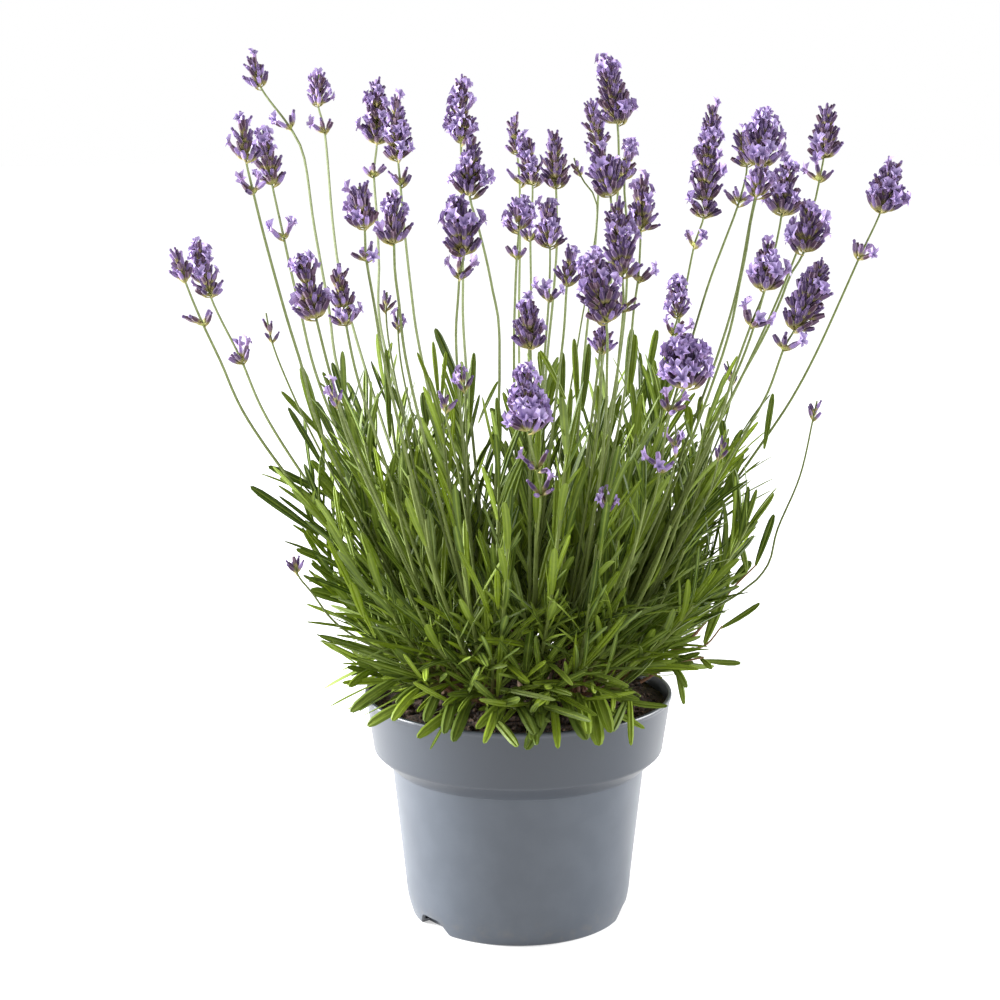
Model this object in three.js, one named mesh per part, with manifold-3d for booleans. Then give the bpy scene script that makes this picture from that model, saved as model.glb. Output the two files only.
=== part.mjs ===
// Potted lavender: a slate grey nursery pot, its soil, fourteen woody-based leafy
// branches and the flower spikes on their stalks. Millimetres, +Z up, the front of
// the plant towards -Y, the origin on the pot's axis at its underside.

import * as THREE from 'three';
import Module from 'manifold-3d';
import { mergeVertices } from 'three/addons/utils/BufferGeometryUtils.js';

const wasm = await Module();
wasm.setup();

// The pot, as radii and heights
const RIM_RADIUS = 85;
const RIM_HEIGHT = 127;
const COLLAR_FOOT_RADIUS = 80;
const COLLAR_FOOT_HEIGHT = 95;
const BODY_TOP_RADIUS = 70;
const BODY_TOP_HEIGHT = 86;
const BODY_FOOT_RADIUS = 62;
const BODY_FOOT_HEIGHT = 10;
const BASE_RADIUS = 59;
const WALL = 1.7;
const FLOOR = 2.4;
const POT_SIDES = 28;
const NOTCH_ANGLES = [103, 218, 348];
const NOTCH_FOOT_WIDTH = 27;
const NOTCH_TOP_WIDTH = 15;
const NOTCH_HEIGHT = 8;
const NOTCH_DEPTH = 7;

// The soil and the holes that the branches stand in
const SOIL_GAP = 0.4;
const SOIL_EDGE_HEIGHT = 121;
const SOIL_CROWN_HEIGHT = 124;
const HOLE_RADIUS = 4.1;
const HOLE_DEPTH = 26;
const BASE_WOOD_RADIUS = 3.1;
const FORK_RISE = 18;
const FORK_RADIUS = 4.4;

// Where the photograph was taken from, in the 1000 x 1000 frame
const CAMERA = { x: -10.1, y: -1150, z: 453.7, pitch: 10.84, focal: 2149.3, centre: 500 };

// Stalks, spikes and florets
const STALK_RADIUS = 1.25;
const RACHIS_RADIUS = 1.3;
const CORE_RADIUS = 3.0;
const NODE_GAP = 0.35;
const BAND_HEIGHT = 7.4;
const FLORET_MOUTH = 1.7;
const WHORL_TAIL = 4;
const FORK_ROW = 665;

// Leafy shoots
const SHOOT_COUNT = 150;
const SHOOT_STEP = 3;
const SHOOT_RADIUS = 1.3;
const BUSH_FOOT = 80;
const BUSH_SWELL = 40;
const BUSH_LEAN = 11;
const BUSH_LOW = 133;
const BUSH_FULL = 215;
const BUSH_TOP = 293;
const BUSH_RISE = 1.4;
const BUSH_ARCH = 9;
const LEAF_LENGTH = 40;
const LEAF_WIDTH = 4.6;
const LEAF_THICKNESS = 0.8;
const LEAF_WIDEST = 0.58;
const LEAF_PITCH = 9;
const LEAF_LIFT = 0.5;
const NODE_HEIGHT = 2.4;
const PATH_STEPS = 32;
const LEAFY_TOP = 300;
const NODE_SPACING = 21.5;
const LEAF_CLEARANCE = 0.4;
const LEAF_ROOM = 0.9;

// Each branch: its woody foot in the soil, in plan
const BRANCHES = {
  left: [-40, 0],
  left_back: [-31, 27],
  left_front: [-28, -26],
  front_left: [-14, -37],
  centre_left: [-18, -10],
  back_left: [-12, 22],
  back: [3, 40],
  centre: [3, 5],
  front: [6, -30],
  centre_right: [20, -8],
  back_right: [24, 30],
  front_right: [25, -34],
  right: [42, 4],
  right_front: [40, -18],
};

// Each flower spike: the points where the photograph shows its tip, its foot, the
// separate whorls below it and its stalk going down, the half width of its head in
// millimetres, and how far behind the pot's axis it stands (less than nothing: in front)
const SPIKES = [
  { branch: 'left', depth: -25, width: 7, tip: [174, 246], foot: [185.5, 282],
    whorls: [[202, 322]], stalk: [[220, 360], [248, 420]] },
  { branch: 'left', depth: 15, width: 8.5, tip: [195.7, 240], foot: [210.4, 296],
    whorls: [[240.4, 358]], stalk: [[268, 420]] },
  { branch: 'left', depth: -60, width: 8.5, tip: [241, 112], foot: [246, 160],
    whorls: [[252.5, 189]], stalk: [[262, 228], [273.5, 271], [288, 322], [302, 367], [316, 420]] },
  { branch: 'left', depth: -15, width: 8.5, tip: [261, 127], foot: [272, 184],
    whorls: [[283, 234]], stalk: [[293, 280], [300, 309], [318, 380]] },
  { branch: 'left_back', depth: 80, width: 8, tip: [249, 52], foot: [260, 86],
    whorls: [[289, 126]], stalk: [[302, 150], [314, 225], [329, 309], [339, 373]] },
  { branch: 'left_back', depth: 130, width: 7.5, tip: [319, 69], foot: [318, 104],
    whorls: [[324, 128]], stalk: [[333, 225], [340, 275], [359, 348]] },
  { branch: 'left_front', depth: -105, width: 10, tip: [300, 250], foot: [315.6, 316],
    whorls: [], stalk: [[332, 380], [352, 440]] },
  { branch: 'left_front', depth: -72, width: 8.5, tip: [336, 262], foot: [346, 324],
    whorls: [], stalk: [[356, 372], [374, 430]] },
  { branch: 'left_front', depth: -120, width: 9.5, tip: [358, 180], foot: [364.5, 226],
    whorls: [[366, 256]], stalk: [[374, 303], [384, 360]] },
  { branch: 'front_left', depth: -92, width: 10, tip: [392, 190], foot: [394, 242],
    whorls: [], stalk: [[395, 272], [399, 303], [406, 360]] },
  { branch: 'back_left', depth: 90, width: 9.5, tip: [376, 78], foot: [377, 143],
    whorls: [[374, 172]], stalk: [[377, 218], [379, 262], [381, 330]] },
  { branch: 'back_left', depth: 40, width: 9, tip: [395, 94], foot: [398, 159],
    whorls: [[400, 180]], stalk: [[405, 235], [411, 289], [418, 340]] },
  { branch: 'back_left', depth: 120, width: 9, tip: [461, 73], foot: [461, 142],
    whorls: [], stalk: [[462, 200], [463, 276], [463.5, 330]] },
  { branch: 'centre_left', depth: 25, width: 10, tip: [473, 134], foot: [469, 193],
    whorls: [], stalk: [[477, 222], [487, 262], [493, 292], [499, 326]] },
  { branch: 'centre_left', depth: -40, width: 13, tip: [456, 192], foot: [464, 254],
    whorls: [[460, 273]], stalk: [[458, 300], [456, 330], [458, 380]] },
  { branch: 'back', depth: 150, width: 7.5, tip: [512, 113], foot: [517, 152],
    whorls: [[519.5, 180]], stalk: [[520, 240], [519, 320]] },
  { branch: 'back', depth: 100, width: 8.5, tip: [526, 133], foot: [532.5, 184],
    whorls: [[530.5, 236]], stalk: [[531, 294], [529, 350]] },
  { branch: 'centre', depth: 55, width: 9.5, tip: [553, 126], foot: [556, 186],
    whorls: [], stalk: [[557, 240], [553, 300], [547, 360]] },
  { branch: 'centre', depth: -8, width: 8, tip: [520, 196], foot: [519, 229],
    whorls: [[517, 254]], stalk: [[515, 300], [514, 360]] },
  { branch: 'centre', depth: 15, width: 9, tip: [547, 198], foot: [550, 246],
    whorls: [[549, 296]], stalk: [[545, 350], [541, 400]] },
  { branch: 'centre', depth: -28, width: 7.5, tip: [572, 246], foot: [567, 284],
    whorls: [], stalk: [[564, 330], [557, 390]] },
  { branch: 'front', depth: -70, width: 10, tip: [528, 296], foot: [530.5, 347],
    whorls: [], stalk: [[531, 390], [530, 450]] },
  { branch: 'front', depth: -130, width: 10, tip: [524, 364], foot: [528, 431],
    whorls: [[536, 466], [541, 492]], stalk: [[537, 540], [536, 600]] },
  { branch: 'back_right', depth: 75, width: 11.5, tip: [605, 57], foot: [617.4, 122],
    whorls: [], stalk: [[618, 190], [612, 270], [604, 350]] },
  { branch: 'back_right', depth: 130, width: 8, tip: [590, 95], foot: [598.3, 146],
    whorls: [], stalk: [[597, 220], [590, 300], [583, 370]] },
  { branch: 'centre_right', depth: 0, width: 11.5, tip: [597, 141], foot: [610.4, 193],
    whorls: [], stalk: [[610, 250], [604, 320], [594, 400]] },
  { branch: 'centre_right', depth: 32, width: 7.5, tip: [631, 136], foot: [624.4, 178],
    whorls: [], stalk: [[627, 230], [626, 300], [616, 380]] },
  { branch: 'centre_right', depth: -30, width: 9, tip: [643.5, 175], foot: [641, 229],
    whorls: [[638.4, 277]], stalk: [[634, 308], [630, 350], [620, 420]] },
  { branch: 'centre_right', depth: -62, width: 10, tip: [616, 197], foot: [622.4, 274],
    whorls: [[623.5, 305.5]], stalk: [[619.5, 350], [612, 420]] },
  { branch: 'front_right', depth: -98, width: 12, tip: [588, 248], foot: [606, 320],
    whorls: [], stalk: [[607, 370], [604, 440]] },
  { branch: 'centre_right', depth: -45, width: 8, tip: [602, 322], foot: [602, 352],
    whorls: [], stalk: [[600, 400], [595, 450]] },
  { branch: 'back_right', depth: 110, width: 10, tip: [713, 101], foot: [704, 216],
    whorls: [[695, 243]], stalk: [[685, 291], [672, 350]] },
  { branch: 'back_right', depth: 40, width: 7, tip: [679.5, 278], foot: [678, 316],
    whorls: [[674, 330]], stalk: [[664, 390], [652, 440]] },
  { branch: 'front_right', depth: -112, width: 13, tip: [683, 326], foot: [687, 385],
    whorls: [[670.6, 409], [660.5, 468]], stalk: [[650, 510]] },
  { branch: 'right', depth: -5, width: 13.5, tip: [764, 106], foot: [761, 165],
    whorls: [], stalk: [[750, 222], [737, 290], [716, 360]] },
  { branch: 'right', depth: 60, width: 8.5, tip: [740, 126], foot: [747, 165],
    whorls: [[740, 199]], stalk: [[723, 245.5], [711, 277], [696, 325]] },
  { branch: 'right', depth: 28, width: 11, tip: [788, 158], foot: [782, 213],
    whorls: [], stalk: [[776, 245], [762, 300], [742, 360]] },
  { branch: 'right', depth: 75, width: 10.5, tip: [829, 99], foot: [824, 156],
    whorls: [[820, 177]], stalk: [[815, 201], [793, 262], [764, 330]] },
  { branch: 'right', depth: 10, width: 11, tip: [897, 157], foot: [881, 211],
    whorls: [[861, 254]], stalk: [[840, 301], [818.6, 348], [799, 386], [778, 420]] },
  { branch: 'right', depth: -32, width: 10.5, tip: [811, 195], foot: [805, 250],
    whorls: [], stalk: [[791, 274], [780, 302], [762, 340], [740, 380]] },
  { branch: 'right_front', depth: -45, width: 8, tip: [764, 162], foot: [756.5, 196],
    whorls: [], stalk: [[751, 220], [746, 252], [739.5, 284], [727, 341]] },
  { branch: 'right_front', depth: -85, width: 10.5, tip: [769, 236], foot: [765, 288],
    whorls: [[752, 322]], stalk: [[734, 372], [716, 430]] },
  { branch: 'right_front', depth: -62, width: 13, tip: [826, 256], foot: [795.6, 328],
    whorls: [[785, 346]], stalk: [[768, 392], [747, 430]] },
];

// Small buds on thin stalks of their own, grown in one piece with the branch
const BUDS = [
  { branch: 'left', depth: -45, tip: [266, 313], foot: [272, 342], stalk: [[295, 399], [325, 460]] },
  { branch: 'left_front', depth: -60, tip: [387, 292], foot: [386, 311], stalk: [[390, 350]] },
  { branch: 'front_left', depth: -66, tip: [398, 307], foot: [398, 333], stalk: [[404, 380]] },
  { branch: 'left_front', depth: -135, tip: [330, 379], foot: [337, 405], stalk: [[352, 450]] },
  { branch: 'front_left', depth: -110, tip: [445.5, 388], foot: [445.5, 411], stalk: [[458, 468]] },
  { branch: 'centre_left', depth: -75, tip: [461, 367], foot: [464.6, 391], stalk: [[467, 450], [469, 540]] },
  { branch: 'right', depth: 45, tip: [727, 361], foot: [732, 383], stalk: [[722, 430]] },
  { branch: 'right', depth: -15, tip: [817, 401], foot: [813, 419],
    stalk: [[800, 476], [777.5, 529], [762, 574]] },
  { branch: 'front_right', depth: -90, tip: [675.5, 425], foot: [675.5, 454], stalk: [[664, 500]] },
  { branch: 'right_front', depth: -70, tip: [728.6, 429], foot: [719.4, 457], stalk: [[706, 500]] },
  { branch: 'front', depth: -95, tip: [607, 490], foot: [606, 512], stalk: [[596, 560]] },
  { branch: 'left_front', depth: -90, tip: [294, 559], foot: [297, 573],
    stalk: [[311.5, 592], [344.6, 630]] },
  { branch: 'centre', depth: 95, tip: [574, 158], foot: [580, 176],
    stalk: [[596, 200], [592, 260], [580, 330]] },
];

const COLOURS = { pot: 0x737a84, soil: 0x3a2c22, branch: 0x5d7f33, spike: 0x6a4f93 };
const UP = new THREE.Vector3(0, 0, 1);
const GOLDEN_ANGLE = Math.PI * (3 - Math.sqrt(5));

// A repeatable run of numbers from 0 to 1
function draws(seed) {
  let state = (seed * 7919 + 12345) % 4294967296;
  return () => {
    state = (state * 1664525 + 1013904223) % 4294967296;
    return state / 4294967296;
  };
}

// The point at a given depth behind the pot's axis that the photograph shows at a pixel
function seenAt([column, row], depth) {
  const pitch = THREE.MathUtils.degToRad(CAMERA.pitch);
  const side = (column - CAMERA.centre) / CAMERA.focal;
  const rise = (CAMERA.centre - row) / CAMERA.focal;
  const forward = Math.cos(pitch) + rise * Math.sin(pitch);
  const upward = rise * Math.cos(pitch) - Math.sin(pitch);
  const distance = (depth - CAMERA.y) / forward;
  return new THREE.Vector3(CAMERA.x + side * distance, depth, CAMERA.z + upward * distance);
}

// A closed solid from its corners and faces
function solidOf(corners, faces) {
  const vertProperties = new Float32Array(corners.flatMap((corner) => [corner.x, corner.y, corner.z]));
  const triVerts = new Uint32Array(faces.flat());
  return new wasm.Manifold(new wasm.Mesh({ numProp: 3, vertProperties, triVerts }));
}

// A closed solid from one of three's own geometries
function solidFrom(geometry) {
  geometry.deleteAttribute('normal');
  geometry.deleteAttribute('uv');
  const merged = mergeVertices(geometry, 1e-4);
  return new wasm.Manifold(new wasm.Mesh({
    numProp: 3,
    vertProperties: new Float32Array(merged.attributes.position.array),
    triVerts: new Uint32Array(merged.index.array),
  }));
}

// The largest body of a joined solid, as a named mesh
function meshOf(name, solid, colour, roughness) {
  const bodies = solid.decompose().sort((one, other) => other.volume() - one.volume());
  const { vertProperties, triVerts } = bodies[0].getMesh();
  const geometry = new THREE.BufferGeometry();
  geometry.setAttribute('position', new THREE.BufferAttribute(vertProperties, 3));
  geometry.setIndex(new THREE.BufferAttribute(triVerts, 1));
  geometry.computeVertexNormals();
  const mesh = new THREE.Mesh(geometry, new THREE.MeshStandardMaterial({ color: colour, roughness }));
  mesh.name = name;
  return mesh;
}

// The directions along and square to a line at each of its points, without twist
function framesAlong(points) {
  let across = null;
  return points.map((point, station) => {
    const before = points[Math.max(station - 1, 0)];
    const after = points[Math.min(station + 1, points.length - 1)];
    const along = after.clone().sub(before).normalize();
    const guide = across ?? (Math.abs(along.y) < 0.9 ? new THREE.Vector3(0, 1, 0) : UP);
    across = guide.clone().addScaledVector(along, -guide.dot(along)).normalize();
    return { point, along, across, third: along.clone().cross(across) };
  });
}

// One corner of the ring round a point of a line
function ringCorner({ point, across, third }, radius, turn) {
  return point.clone()
    .addScaledVector(across, radius * Math.cos(turn))
    .addScaledVector(third, radius * Math.sin(turn));
}

// The flat ends of a rod whose rings all have the same number of corners
function endFaces(sides, last) {
  return Array.from({ length: sides - 2 }, (_, side) => [
    [0, side + 2, side + 1],
    [last, last + side + 1, last + side + 2],
  ]).flat();
}

// A rod along points, with a radius at each and flat ends
function rod(points, radii, sides) {
  const corners = framesAlong(points).flatMap((frame, station) => Array.from({ length: sides }, (_, side) => (
    ringCorner(frame, radii[station], (2 * Math.PI * side) / sides)
  )));
  const last = (points.length - 1) * sides;
  const faces = endFaces(sides, last);
  for (let low = 0; low < last; low += sides) {
    for (let side = 0; side < sides; side += 1) {
      const next = (side + 1) % sides;
      const high = low + sides;
      faces.push([low + side, low + next, high + next], [low + side, high + next, high + side]);
    }
  }
  return solidOf(corners, faces);
}

// The four corners of one face of a skin, between a ring and the one below it
function faceCorners(level, side, sides) {
  const next = (side + 1) % sides;
  const low = (level - 1) * sides;
  const high = level * sides;
  return [low + side, low + next, high + next, high + side];
}

function flat([a, b, c, d]) {
  return [[a, b, c], [a, c, d]];
}

// A floret raised over a face: its skin from the face to the two corners of its mouth
function floret([a, b, c, d], mouth, corners) {
  const left = corners.push(...mouth) - 2;
  const right = left + 1;
  return [[a, b, right], [a, right, left], [b, c, right], [c, d, left], [c, left, right], [d, a, left]];
}

// A leaf raised over a face: its skin from the face, round its widest part, to its tip
function blade(base, leaf, corners) {
  const across = corners.push(...bladeCorners(leaf)) - 4;
  const tip = corners.push(leafPoint(leaf, 1)) - 1;
  return [0, 1, 2, 3].flatMap((side) => {
    const next = (side + 1) % 4;
    return [
      ...flat([base[side], base[next], across + next, across + side]),
      [across + side, across + next, tip],
    ];
  });
}

// A spike in one skin: rings up its axis, with a floret raised over each face of the
// bands that carry them, to a mouth that is wide and thin
function spikeSolid(rings, sides, draw) {
  const frames = framesAlong(rings.map(({ point }) => point));
  const corners = frames.flatMap((frame, level) => Array.from({ length: sides }, (_, side) => (
    ringCorner(frame, rings[level].radius, (Math.PI * (2 * side + level)) / sides)
  )));
  const faces = endFaces(sides, (rings.length - 1) * sides);
  for (let level = 1; level < rings.length; level += 1) {
    const { reach, lift } = rings[level];
    for (let side = 0; side < sides; side += 1) {
      const base = faceCorners(level, side, sides);
      if (!reach) {
        faces.push(...flat(base));
        continue;
      }
      const mouth = mouthOf(base.map((corner) => corners[corner]), frames[level],
        reach * (0.84 + 0.32 * draw()), lift + 0.25 * (draw() - 0.5));
      faces.push(...floret(base, mouth, corners));
    }
  }
  return solidOf(corners, faces);
}

// The two corners of a floret's mouth, over the four corners that it grows from
function mouthOf([a, b, c, d], { point, along: axis }, reach, lift) {
  const middle = a.clone().add(b).add(c).add(d).multiplyScalar(0.25);
  const away = middle.clone().sub(point);
  const outward = away.addScaledVector(axis, -away.dot(axis)).normalize();
  const tangent = b.clone().add(c).sub(a).sub(d).normalize();
  const mouth = middle
    .addScaledVector(outward, reach * Math.cos(lift))
    .addScaledVector(axis, reach * Math.sin(lift));
  return [-1, 1].map((hand) => mouth.clone().addScaledVector(tangent, hand * FLORET_MOUTH));
}

// The way a flower's stalk runs: root in the soil, fork, the seen points, foot and tip
function stalkRoute(flower) {
  const [, y] = BRANCHES[flower.branch];
  const forkHeight = SOIL_CROWN_HEIGHT + FORK_RISE;
  const seen = [...(flower.whorls ?? []), ...flower.stalk];
  const depthAt = (row) => {
    const share = (row - flower.foot[1]) / (FORK_ROW - flower.foot[1]);
    return THREE.MathUtils.lerp(flower.depth, y, share);
  };
  const upper = seen.map((pixel) => seenAt(pixel, depthAt(pixel[1])));
  const lowest = upper[upper.length - 1];
  const start = stemStart(flower.branch, lowest, forkHeight - 5);
  return [start, ...upper.reverse(), seenAt(flower.foot, flower.depth), seenAt(flower.tip, flower.depth)];
}

// Where a stem leaves its branch's woody foot, on the side that it leans to
function stemStart(branch, toward, height) {
  const [x, y] = BRANCHES[branch];
  const lean = Math.atan2(toward.y - y, toward.x - x);
  const out = FORK_RADIUS * 0.55;
  return new THREE.Vector3(x + out * Math.cos(lean), y + out * Math.sin(lean), height);
}

// Points spread along part of a smooth curve
function along(curve, from, to, count) {
  return Array.from({ length: count + 1 }, (_, step) => (
    curve.getPoint(THREE.MathUtils.lerp(from, to, step / count))
  ));
}

// A stalk's curve, from its fork to the tip of its flowers, with the places on it of
// the foot, of each separate whorl and of the end of the green stalk
function stalkOf(flower) {
  const route = stalkRoute(flower);
  const curve = new THREE.CatmullRomCurve3(route, false, 'centripetal');
  const steps = route.length - 1;
  const whorls = (flower.whorls ?? []).map((_, place) => (steps - 2 - place) / steps).reverse();
  const foot = (steps - 1) / steps;
  const lowest = whorls[0] ?? foot;
  const perStep = curve.getPoint(lowest).distanceTo(curve.getPoint(lowest - 0.01));
  const below = NODE_GAP + (whorls.length ? WHORL_TAIL : 0);
  return { flower, curve, foot, whorls, cut: lowest - (0.01 * below) / perStep };
}

// A point along the middle of a leaf, which bends back as it goes
function leafPoint(leaf, share) {
  return leaf.root.clone()
    .addScaledVector(leaf.direction, leaf.length * share)
    .addScaledVector(leaf.face, -leaf.bend * leaf.length * share * share);
}

// The four corners of a blade where it is widest
function bladeCorners(leaf) {
  return [[-1, -1], [1, -1], [1, 1], [-1, 1]].map(([hand, up]) => leafPoint(leaf, LEAF_WIDEST)
    .addScaledVector(leaf.side, (hand * leaf.width) / 2)
    .addScaledVector(leaf.face, (up * LEAF_THICKNESS) / 2));
}

// A smooth way through points, read by the distance along it
function pathOf(curve, from, to) {
  const points = along(curve, from, to, PATH_STEPS);
  const frames = framesAlong(points);
  const reached = [0];
  points.slice(1).forEach((point, index) => reached.push(reached[index] + point.distanceTo(points[index])));
  const at = (distance) => {
    const found = reached.findIndex((value) => value >= distance);
    const after = found < 1 ? (found === 0 ? 1 : PATH_STEPS) : found;
    const part = (distance - reached[after - 1]) / (reached[after] - reached[after - 1]);
    return { ...frames[after], point: points[after - 1].clone().lerp(points[after], part) };
  };
  return { points, at, length: reached[PATH_STEPS] };
}

// Opposite pairs of leaves up a leafy stem, each pair square to the last
function leafNodes(path, from, to, seed) {
  const draw = draws(seed);
  const start = draw() * Math.PI;
  const count = Math.floor((to - from) / LEAF_PITCH);
  const nodes = [];
  for (let node = 0; node < count; node += 1) {
    const share = (node + 0.6) / count;
    const distance = THREE.MathUtils.lerp(from, to, share);
    const frame = path.at(distance);
    const leaves = [0, 2].map((half) => {
      const facet = (node % 2) + half;
      const turn = start + ((facet + 0.5) * Math.PI) / 2 + (draw() - 0.5) * 0.7;
      const spread = THREE.MathUtils.lerp(0.85, 0.3, share) + (draw() - 0.5) * 0.3;
      const size = (0.72 + 0.42 * Math.sin(Math.PI * share)) * (0.84 + 0.32 * draw());
      const bend = (0.02 + 0.2 * draw()) * THREE.MathUtils.lerp(1.5, 0.7, share);
      const outward = frame.across.clone().multiplyScalar(Math.cos(turn))
        .addScaledVector(frame.third, Math.sin(turn));
      const direction = frame.along.clone().multiplyScalar(Math.cos(spread))
        .addScaledVector(outward, Math.sin(spread))
        .addScaledVector(UP, LEAF_LIFT * share)
        .normalize();
      const side = frame.along.clone().multiplyScalar(Math.sin(spread))
        .addScaledVector(outward, -Math.cos(spread))
        .cross(direction)
        .normalize();
      return {
        facet, direction, side, bend,
        root: frame.point,
        face: direction.clone().cross(side),
        length: LEAF_LENGTH * size,
        width: LEAF_WIDTH * (0.85 + 0.15 * size),
      };
    });
    nodes.push({ distance, point: frame.point, leaves });
  }
  return { start, nodes };
}

// A square stem in one skin with its leaves, each raised from one face of its node
function leafyStem({ path, start, nodes, from, to, radius, bare }) {
  const rings = [{ distance: from }];
  nodes.filter(({ leaves }) => leaves.length).forEach(({ distance, leaves }) => {
    rings.push({ distance: distance - NODE_HEIGHT / 2 }, { distance: distance + NODE_HEIGHT / 2, leaves });
  });
  const reached = rings[rings.length - 1].distance;
  for (let step = 1; step <= bare; step += 1) {
    rings.push({ distance: THREE.MathUtils.lerp(reached, to, step / bare) });
  }
  const corners = rings.flatMap(({ distance }) => [0, 1, 2, 3].map((side) => (
    ringCorner(path.at(distance), radius(distance / path.length), start + (side * Math.PI) / 2)
  )));
  const last = (rings.length - 1) * 4;
  const faces = endFaces(4, last);
  for (let level = 1; level < rings.length; level += 1) {
    for (let side = 0; side < 4; side += 1) {
      const base = faceCorners(level, side, 4);
      const leaf = (rings[level].leaves ?? []).find(({ facet }) => facet === side);
      faces.push(...(leaf ? blade(base, leaf, corners) : flat(base)));
    }
  }
  return solidOf(corners, faces);
}

// The shortest way between two straight pieces
function gapBetween(start, end, otherStart, otherEnd) {
  const one = end.clone().sub(start);
  const other = otherEnd.clone().sub(otherStart);
  const apart = start.clone().sub(otherStart);
  const oneLong = one.dot(one);
  const otherLong = other.dot(other);
  const mixed = one.dot(other);
  const slope = oneLong * otherLong - mixed * mixed;
  const clamp = (value) => THREE.MathUtils.clamp(value, 0, 1);
  let share = slope > 1e-9 ? clamp((mixed * other.dot(apart) - one.dot(apart) * otherLong) / slope) : 0;
  const across = clamp((mixed * share + other.dot(apart)) / otherLong);
  share = clamp((mixed * across - one.dot(apart)) / oneLong);
  return start.clone().addScaledVector(one, share)
    .distanceTo(otherStart.clone().addScaledVector(other, across));
}

// What already takes up room: straight round-ended pieces, whose they are and on which stem
const taken = [];

function piecesOf(points, radius) {
  return points.slice(1).map((end, index) => ({
    start: points[index],
    end,
    radius,
    middle: points[index].clone().lerp(end, 0.5),
    half: points[index].distanceTo(end) / 2,
  }));
}

function take(pieces, owner, stem = owner) {
  taken.push(...pieces.map((piece) => ({ ...piece, owner, stem })));
}

function isClearOf(pieces, others) {
  return pieces.every((piece) => others.every((other) => {
    const enough = piece.radius + other.radius + LEAF_CLEARANCE;
    if (piece.middle.distanceTo(other.middle) > enough + piece.half + other.half) return true;
    return gapBetween(piece.start, piece.end, other.start, other.end) > enough;
  }));
}

// A leaf's room: its middle line and a line near each edge
function leafPieces(leaf) {
  return [-0.36, 0, 0.36].flatMap((hand) => piecesOf([0.14, 0.4, 0.7, 1].map((share) => (
    leafPoint(leaf, share).addScaledVector(leaf.side, hand * leaf.width)
  )), LEAF_ROOM));
}

// Whether points keep off the soil and the pot's wall and rim
function isClearOfPot(points) {
  return points.every((point) => {
    const radius = Math.hypot(point.x, point.y);
    if (point.z > RIM_HEIGHT + 2.6) return true;
    if (radius < RIM_RADIUS - 7) return point.z > SOIL_CROWN_HEIGHT + 2.4;
    return radius > RIM_RADIUS + 2.6;
  });
}

// The pot: its walls with the collar and the rolled rim, and the three notches at its foot
function pot() {
  const outline = [
    [0, 0], [BASE_RADIUS, 0], [BODY_FOOT_RADIUS, BODY_FOOT_HEIGHT], [BODY_TOP_RADIUS, BODY_TOP_HEIGHT],
    [COLLAR_FOOT_RADIUS, COLLAR_FOOT_HEIGHT], [RIM_RADIUS - 0.9, RIM_HEIGHT - 3],
    [RIM_RADIUS, RIM_HEIGHT - 1.5],
    [RIM_RADIUS - 0.4, RIM_HEIGHT], [RIM_RADIUS - 2.2, RIM_HEIGHT],
    [COLLAR_FOOT_RADIUS - WALL, COLLAR_FOOT_HEIGHT + 0.8], [BODY_TOP_RADIUS - WALL, BODY_TOP_HEIGHT + 0.8],
    [BODY_FOOT_RADIUS - WALL, BODY_FOOT_HEIGHT], [BASE_RADIUS - WALL, FLOOR], [0, FLOOR],
  ];
  const points = outline.map(([radius, height]) => new THREE.Vector2(radius, height));
  const shell = new THREE.LatheGeometry(points, POT_SIDES).rotateX(Math.PI / 2);
  const top = NOTCH_TOP_WIDTH / 2;
  const below = NOTCH_FOOT_WIDTH - top;
  const arch = new THREE.Shape([
    new THREE.Vector2(-below, -NOTCH_HEIGHT),
    new THREE.Vector2(below, -NOTCH_HEIGHT),
    new THREE.Vector2(top, NOTCH_HEIGHT),
    new THREE.Vector2(-top, NOTCH_HEIGHT),
  ]);
  return NOTCH_ANGLES.reduce((walls, angle) => {
    const notch = new THREE.ExtrudeGeometry(arch, { depth: 3 * NOTCH_DEPTH, bevelEnabled: false })
      .rotateX(Math.PI / 2)
      .rotateZ(Math.PI / 2)
      .translate(BASE_RADIUS - NOTCH_DEPTH, 0, 0)
      .rotateZ(THREE.MathUtils.degToRad(angle));
    return walls.subtract(solidFrom(notch));
  }, solidFrom(shell));
}

// The soil: what fills the pot, low at the edge and higher in the middle, with its holes
function soil() {
  const inside = (radius) => radius - WALL - SOIL_GAP;
  const outline = [
    [0, FLOOR + SOIL_GAP],
    [BASE_RADIUS - WALL - NOTCH_DEPTH, FLOOR + SOIL_GAP],
    [inside(BODY_FOOT_RADIUS), BODY_FOOT_HEIGHT + 2],
    [inside(BODY_TOP_RADIUS), BODY_TOP_HEIGHT + 1.6],
    [inside(COLLAR_FOOT_RADIUS), COLLAR_FOOT_HEIGHT + 3],
    [inside(THREE.MathUtils.mapLinear(
      SOIL_EDGE_HEIGHT, COLLAR_FOOT_HEIGHT, RIM_HEIGHT, COLLAR_FOOT_RADIUS, RIM_RADIUS - 0.5,
    )), SOIL_EDGE_HEIGHT],
    [COLLAR_FOOT_RADIUS * 0.72, SOIL_CROWN_HEIGHT],
    [0, SOIL_CROWN_HEIGHT],
  ];
  const points = outline.map(([radius, height]) => new THREE.Vector2(radius, height));
  const fill = new THREE.LatheGeometry(points, POT_SIDES).rotateX(Math.PI / 2);
  return Object.values(BRANCHES).reduce((earth, [x, y]) => {
    const hole = new THREE.CylinderGeometry(HOLE_RADIUS, HOLE_RADIUS, 2 * HOLE_DEPTH, 6)
      .rotateX(Math.PI / 2)
      .translate(x, y, SOIL_CROWN_HEIGHT);
    return earth.subtract(solidFrom(hole));
  }, solidFrom(fill));
}

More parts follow.
